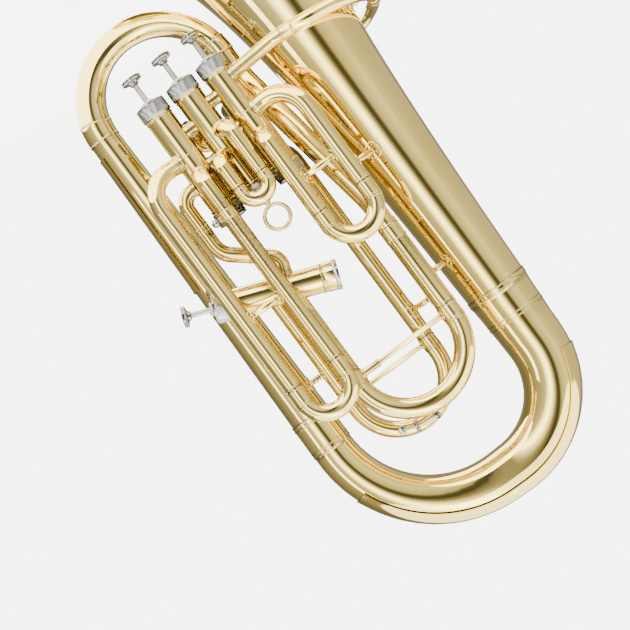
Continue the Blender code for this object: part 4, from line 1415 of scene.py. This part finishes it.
for node, name in (("branch_brace_front", "slide_3"), ("branch_brace_back", "slide_4")):
    z = span(node)[2].z
    leg = leg_point(name, "far", z)
    branch_axis = Vector((branch_x, 0, z))
    branch_end = Footing(branch_axis, UP, leg - branch_axis, lambda offset, z=z: branch_radius(z + offset))
    brace(f"{node}_turned", branch_end, sleeve_footing(name, "far", z, branch_axis), "instrument", (node,))

# %% Braces between a slide's own sleeves, and across the moving bends
for name, z in (("slide_1", 0.2972), ("slide_3", 0.3715)):
    near, far = leg_point(name, "near", z), leg_point(name, "far", z)
    brace(
        f"{name}_sleeve_brace", sleeve_footing(name, "near", z, far), sleeve_footing(name, "far", z, near),
        "instrument", rod_r=0.0034, disc_r=0.0076,
    )
BACK_BRACE_Z = 0.4560
near, far = (leg_point(name, "near", BACK_BRACE_Z) for name in ("main_slide", "slide_4"))
brace(
    "back_sleeve_brace", sleeve_footing("main_slide", "near", BACK_BRACE_Z, far),
    sleeve_footing("slide_4", "near", BACK_BRACE_Z, near), "instrument",
)
for name, node in (("main_slide", "main_slide_brace"), ("slide_4", "slide_4_brace")):
    z = span(node)[2].z
    near, far = leg_point(name, "near", z), leg_point(name, "far", z)
    brace(
        f"{node}_turned", sleeve_footing(name, "near", z, far), sleeve_footing(name, "far", z, near), name,
        (node,), rod_r=0.0026, disc_r=0.0064, shape=socketed_rod,
    )
wrap_angle = math.radians(-150)
wrap_out = Vector((math.cos(wrap_angle), math.sin(wrap_angle), 0))
wrap_z = low_z + (high_z - low_z) * (wrap_angle - first_angle) / (last_angle - first_angle)
pipe_end_footing = Footing(bell_axis(wrap_z) + wrap_out * WRAP_R, wrap_out.cross(UP), -wrap_out, 0.0064)
bell_end = bell_footing(wrap_z, wrap_out)
brace("leadpipe_brace", pipe_end_footing, bell_end, "instrument", rod_r=0.0030, disc_r=0.0060)

# %% [markdown]
# ## Small pieces
# The second slide is too short to grip, so it has a ring for a finger. The fourth slide's bend
# is the lowest point where water gathers, so it has a key: a sprung lever that lifts a cork pad
# off a small spout. A thumb screw on the third slide's sleeve holds a music clip.

# %% The finger ring
ring_low, ring_high, ring_mid = span("pull_ring")
wire_r = (ring_high.y - ring_low.y) / 2
ring_r = (ring_high.x - ring_low.x) / 2 - wire_r
ring_centre = Vector((ring_mid.x, ring_mid.y, ring_high.z - wire_r - ring_r))
turn = [math.radians(20 * i) for i in range(18)]
wire_ring = [(wire_r * math.sin(a), ring_r + wire_r * math.cos(a)) for a in turn]
lathe(
    "pull_ring_wire", ring_centre, Vector((0, 1, 0)), wire_ring, brass, "slide_2", ("pull_ring",),
    sides=96, looped=True,
)
second = slides["slide_2"]
crown = Vector((ring_mid.x, second["y"], second["bend_z"] + second["bend"] + second["r"]))
post_run = ring_centre.z - ring_r - crown.z
post = [
    (-0.0008, 0.0), (-0.0008, 0.0034), (0.0004, 0.0032), (0.0009, 0.0022), (post_run, 0.0017),
    (post_run, 0.0),
]
lathe("pull_ring_post", crown, UP, post, brass, "slide_2", sides=32)

# %% The water key
bend_middle = Vector(((fourth["near"] + fourth["far"]) / 2, fourth["y"], fourth["bend_z"]))
TOWARD_FRONT = Vector((0, -1, 0))
KEY_HEIGHT = fourth["r"] + 0.0048


def on_bend(degrees, reach=0.0, depth=KEY_HEIGHT):
    """A point over the fourth slide's bend, at an angle and a height off its centre line."""
    angle = math.radians(degrees)
    out = Vector((math.cos(angle), 0, math.sin(angle)))
    return bend_middle + out * (fourth["bend"] + reach) + TOWARD_FRONT * depth


PAD_ANGLE, PIVOT_ANGLE, TOUCH_ANGLE = 59, 77, 103
pad, pivot = on_bend(PAD_ANGLE), on_bend(PIVOT_ANGLE)
thumb = on_bend(TOUCH_ANGLE, 0.003, KEY_HEIGHT + 0.0024)
lever_line = CentreLine(bent([pad, pivot + TOWARD_FRONT * 0.0004, thumb], [0.060]))
run = lever_line.length
lever = [(0.0, CLOSED), (0.0002, 0.0010), (0.0008, 0.0013), (run * 0.35, 0.0015), (run * 0.60, 0.0013)]
lever += [
    (run * 0.88, 0.0013), (run * 0.95, 0.0019), (run - 0.0008, 0.0019), (run, 0.0010),
    (run + 1e-6, CLOSED),
]
sweep("water_key_lever", lever_line, lever, nickel, "water_key", ("water_key",), "nickel_silver", sides=24)
touch = [
    (0.0, 0.0), (0.0, 0.0030), (-0.0004, 0.0034), (-0.0010, 0.0034), (-0.0014, 0.0028), (-0.0012, 0.0010),
    (-0.0012, 0.0),
]
nickel_lathe("water_key_touch", thumb, -TOWARD_FRONT, touch, "water_key", sides=32)
cup = [
    (0.0010, CLOSED), (0.0010, 0.0016), (0.0004, 0.0036), (-0.0004, 0.0041), (-0.0024, 0.0042),
    (-0.0028, 0.0040),
    (-0.0028, 0.0034), (-0.0010, 0.0033), (-0.0010, CLOSED),
]
nickel_lathe("water_key_cup", pad, TOWARD_FRONT, cup, "water_key", sides=40)
pad_disc = [(-0.0009, CLOSED), (-0.0009, 0.0031), (-0.0032, 0.0031), (-0.0035, 0.0028), (-0.0035, CLOSED)]
lathe("water_key_cork", pad, TOWARD_FRONT, pad_disc, cork, "water_key", (), "nickel_silver", sides=32)
spout = [
    (-0.0010, 0.0), (-0.0010, 0.0030), (0.0002, 0.0025), (0.0010, 0.0024), (0.0010, 0.0014), (0.0, 0.0013),
    (0.0, 0.0),
]
nickel_lathe("water_key_spout", on_bend(PAD_ANGLE, 0, fourth["r"]), TOWARD_FRONT, spout, "slide_4", sides=32)
across_key = Vector((math.cos(math.radians(PIVOT_ANGLE)), 0, math.sin(math.radians(PIVOT_ANGLE))))
barrel = [
    (-0.0038, CLOSED), (-0.0038, 0.0019), (-0.0034, 0.0021), (0.0034, 0.0021), (0.0038, 0.0019),
    (0.0038, CLOSED),
]
nickel_lathe("water_key_barrel", pivot, across_key, barrel, "water_key", sides=32)
LUG_REACH = 0.0047
for side, sign in (("inner", -1), ("outer", 1)):
    lug_at = pivot + across_key * sign * LUG_REACH
    lug = [
        (-0.0006, CLOSED), (-0.0006, 0.0022), (-0.0003, 0.0025), (0.0003, 0.0025), (0.0006, 0.0022),
        (0.0006, CLOSED),
    ]
    nickel_lathe(f"water_key_lug_{side}", lug_at, across_key, lug, "slide_4", sides=32)
    foot_at = on_bend(PIVOT_ANGLE, sign * LUG_REACH, fourth["r"] - 0.0022)
    shank = [(0.0, CLOSED), (0.0, 0.0016), (0.0030, 0.0012), (0.0060, 0.0011), (0.0060, CLOSED)]
    nickel_lathe(f"water_key_leg_{side}", foot_at, TOWARD_FRONT, shank, "slide_4", sides=20)
pin = [
    (-0.0060, CLOSED), (-0.0060, 0.0009), (-0.0057, 0.0011), (0.0057, 0.0011), (0.0060, 0.0009),
    (0.0060, CLOSED),
]
nickel_lathe("water_key_pin", pivot, across_key, pin, "slide_4", sides=20)

# %% The thumb screw
ALONG_X = Vector((1, 0, 0))
screw_start = Vector((screw_low.x, screw_mid.y, screw_mid.z))
BALL_R = 0.0041
BALL_CENTRE = 0.0056
screw = [
    (-0.0012, 0.0), (-0.0012, 0.0013), (0.0010, 0.0013), (0.0012, 0.0021), (0.0018, 0.0021),
    (0.0020, 0.0014),
]
for i in range(11):
    angle = math.radians(30 + 15 * i)
    screw.append((BALL_CENTRE - BALL_R * math.cos(angle), BALL_R * math.sin(angle)))
nickel_lathe(
    "thumb_screw_ball", screw_start, ALONG_X, screw, "thumb_screw", ("thumb_screw",), sides=40,
)
boss = [
    (-0.0020, 0.0), (-0.0020, 0.0040), (0.0002, 0.0036), (0.0010, 0.0030), (0.0010, 0.0016),
    (-0.0014, 0.0015), (-0.0014, 0.0),
]
lathe("thumb_screw_boss", screw_start, ALONG_X, boss, brass, "instrument", sides=36)
print("thumb screw ball:", round(2000 * BALL_R, 1), "mm")
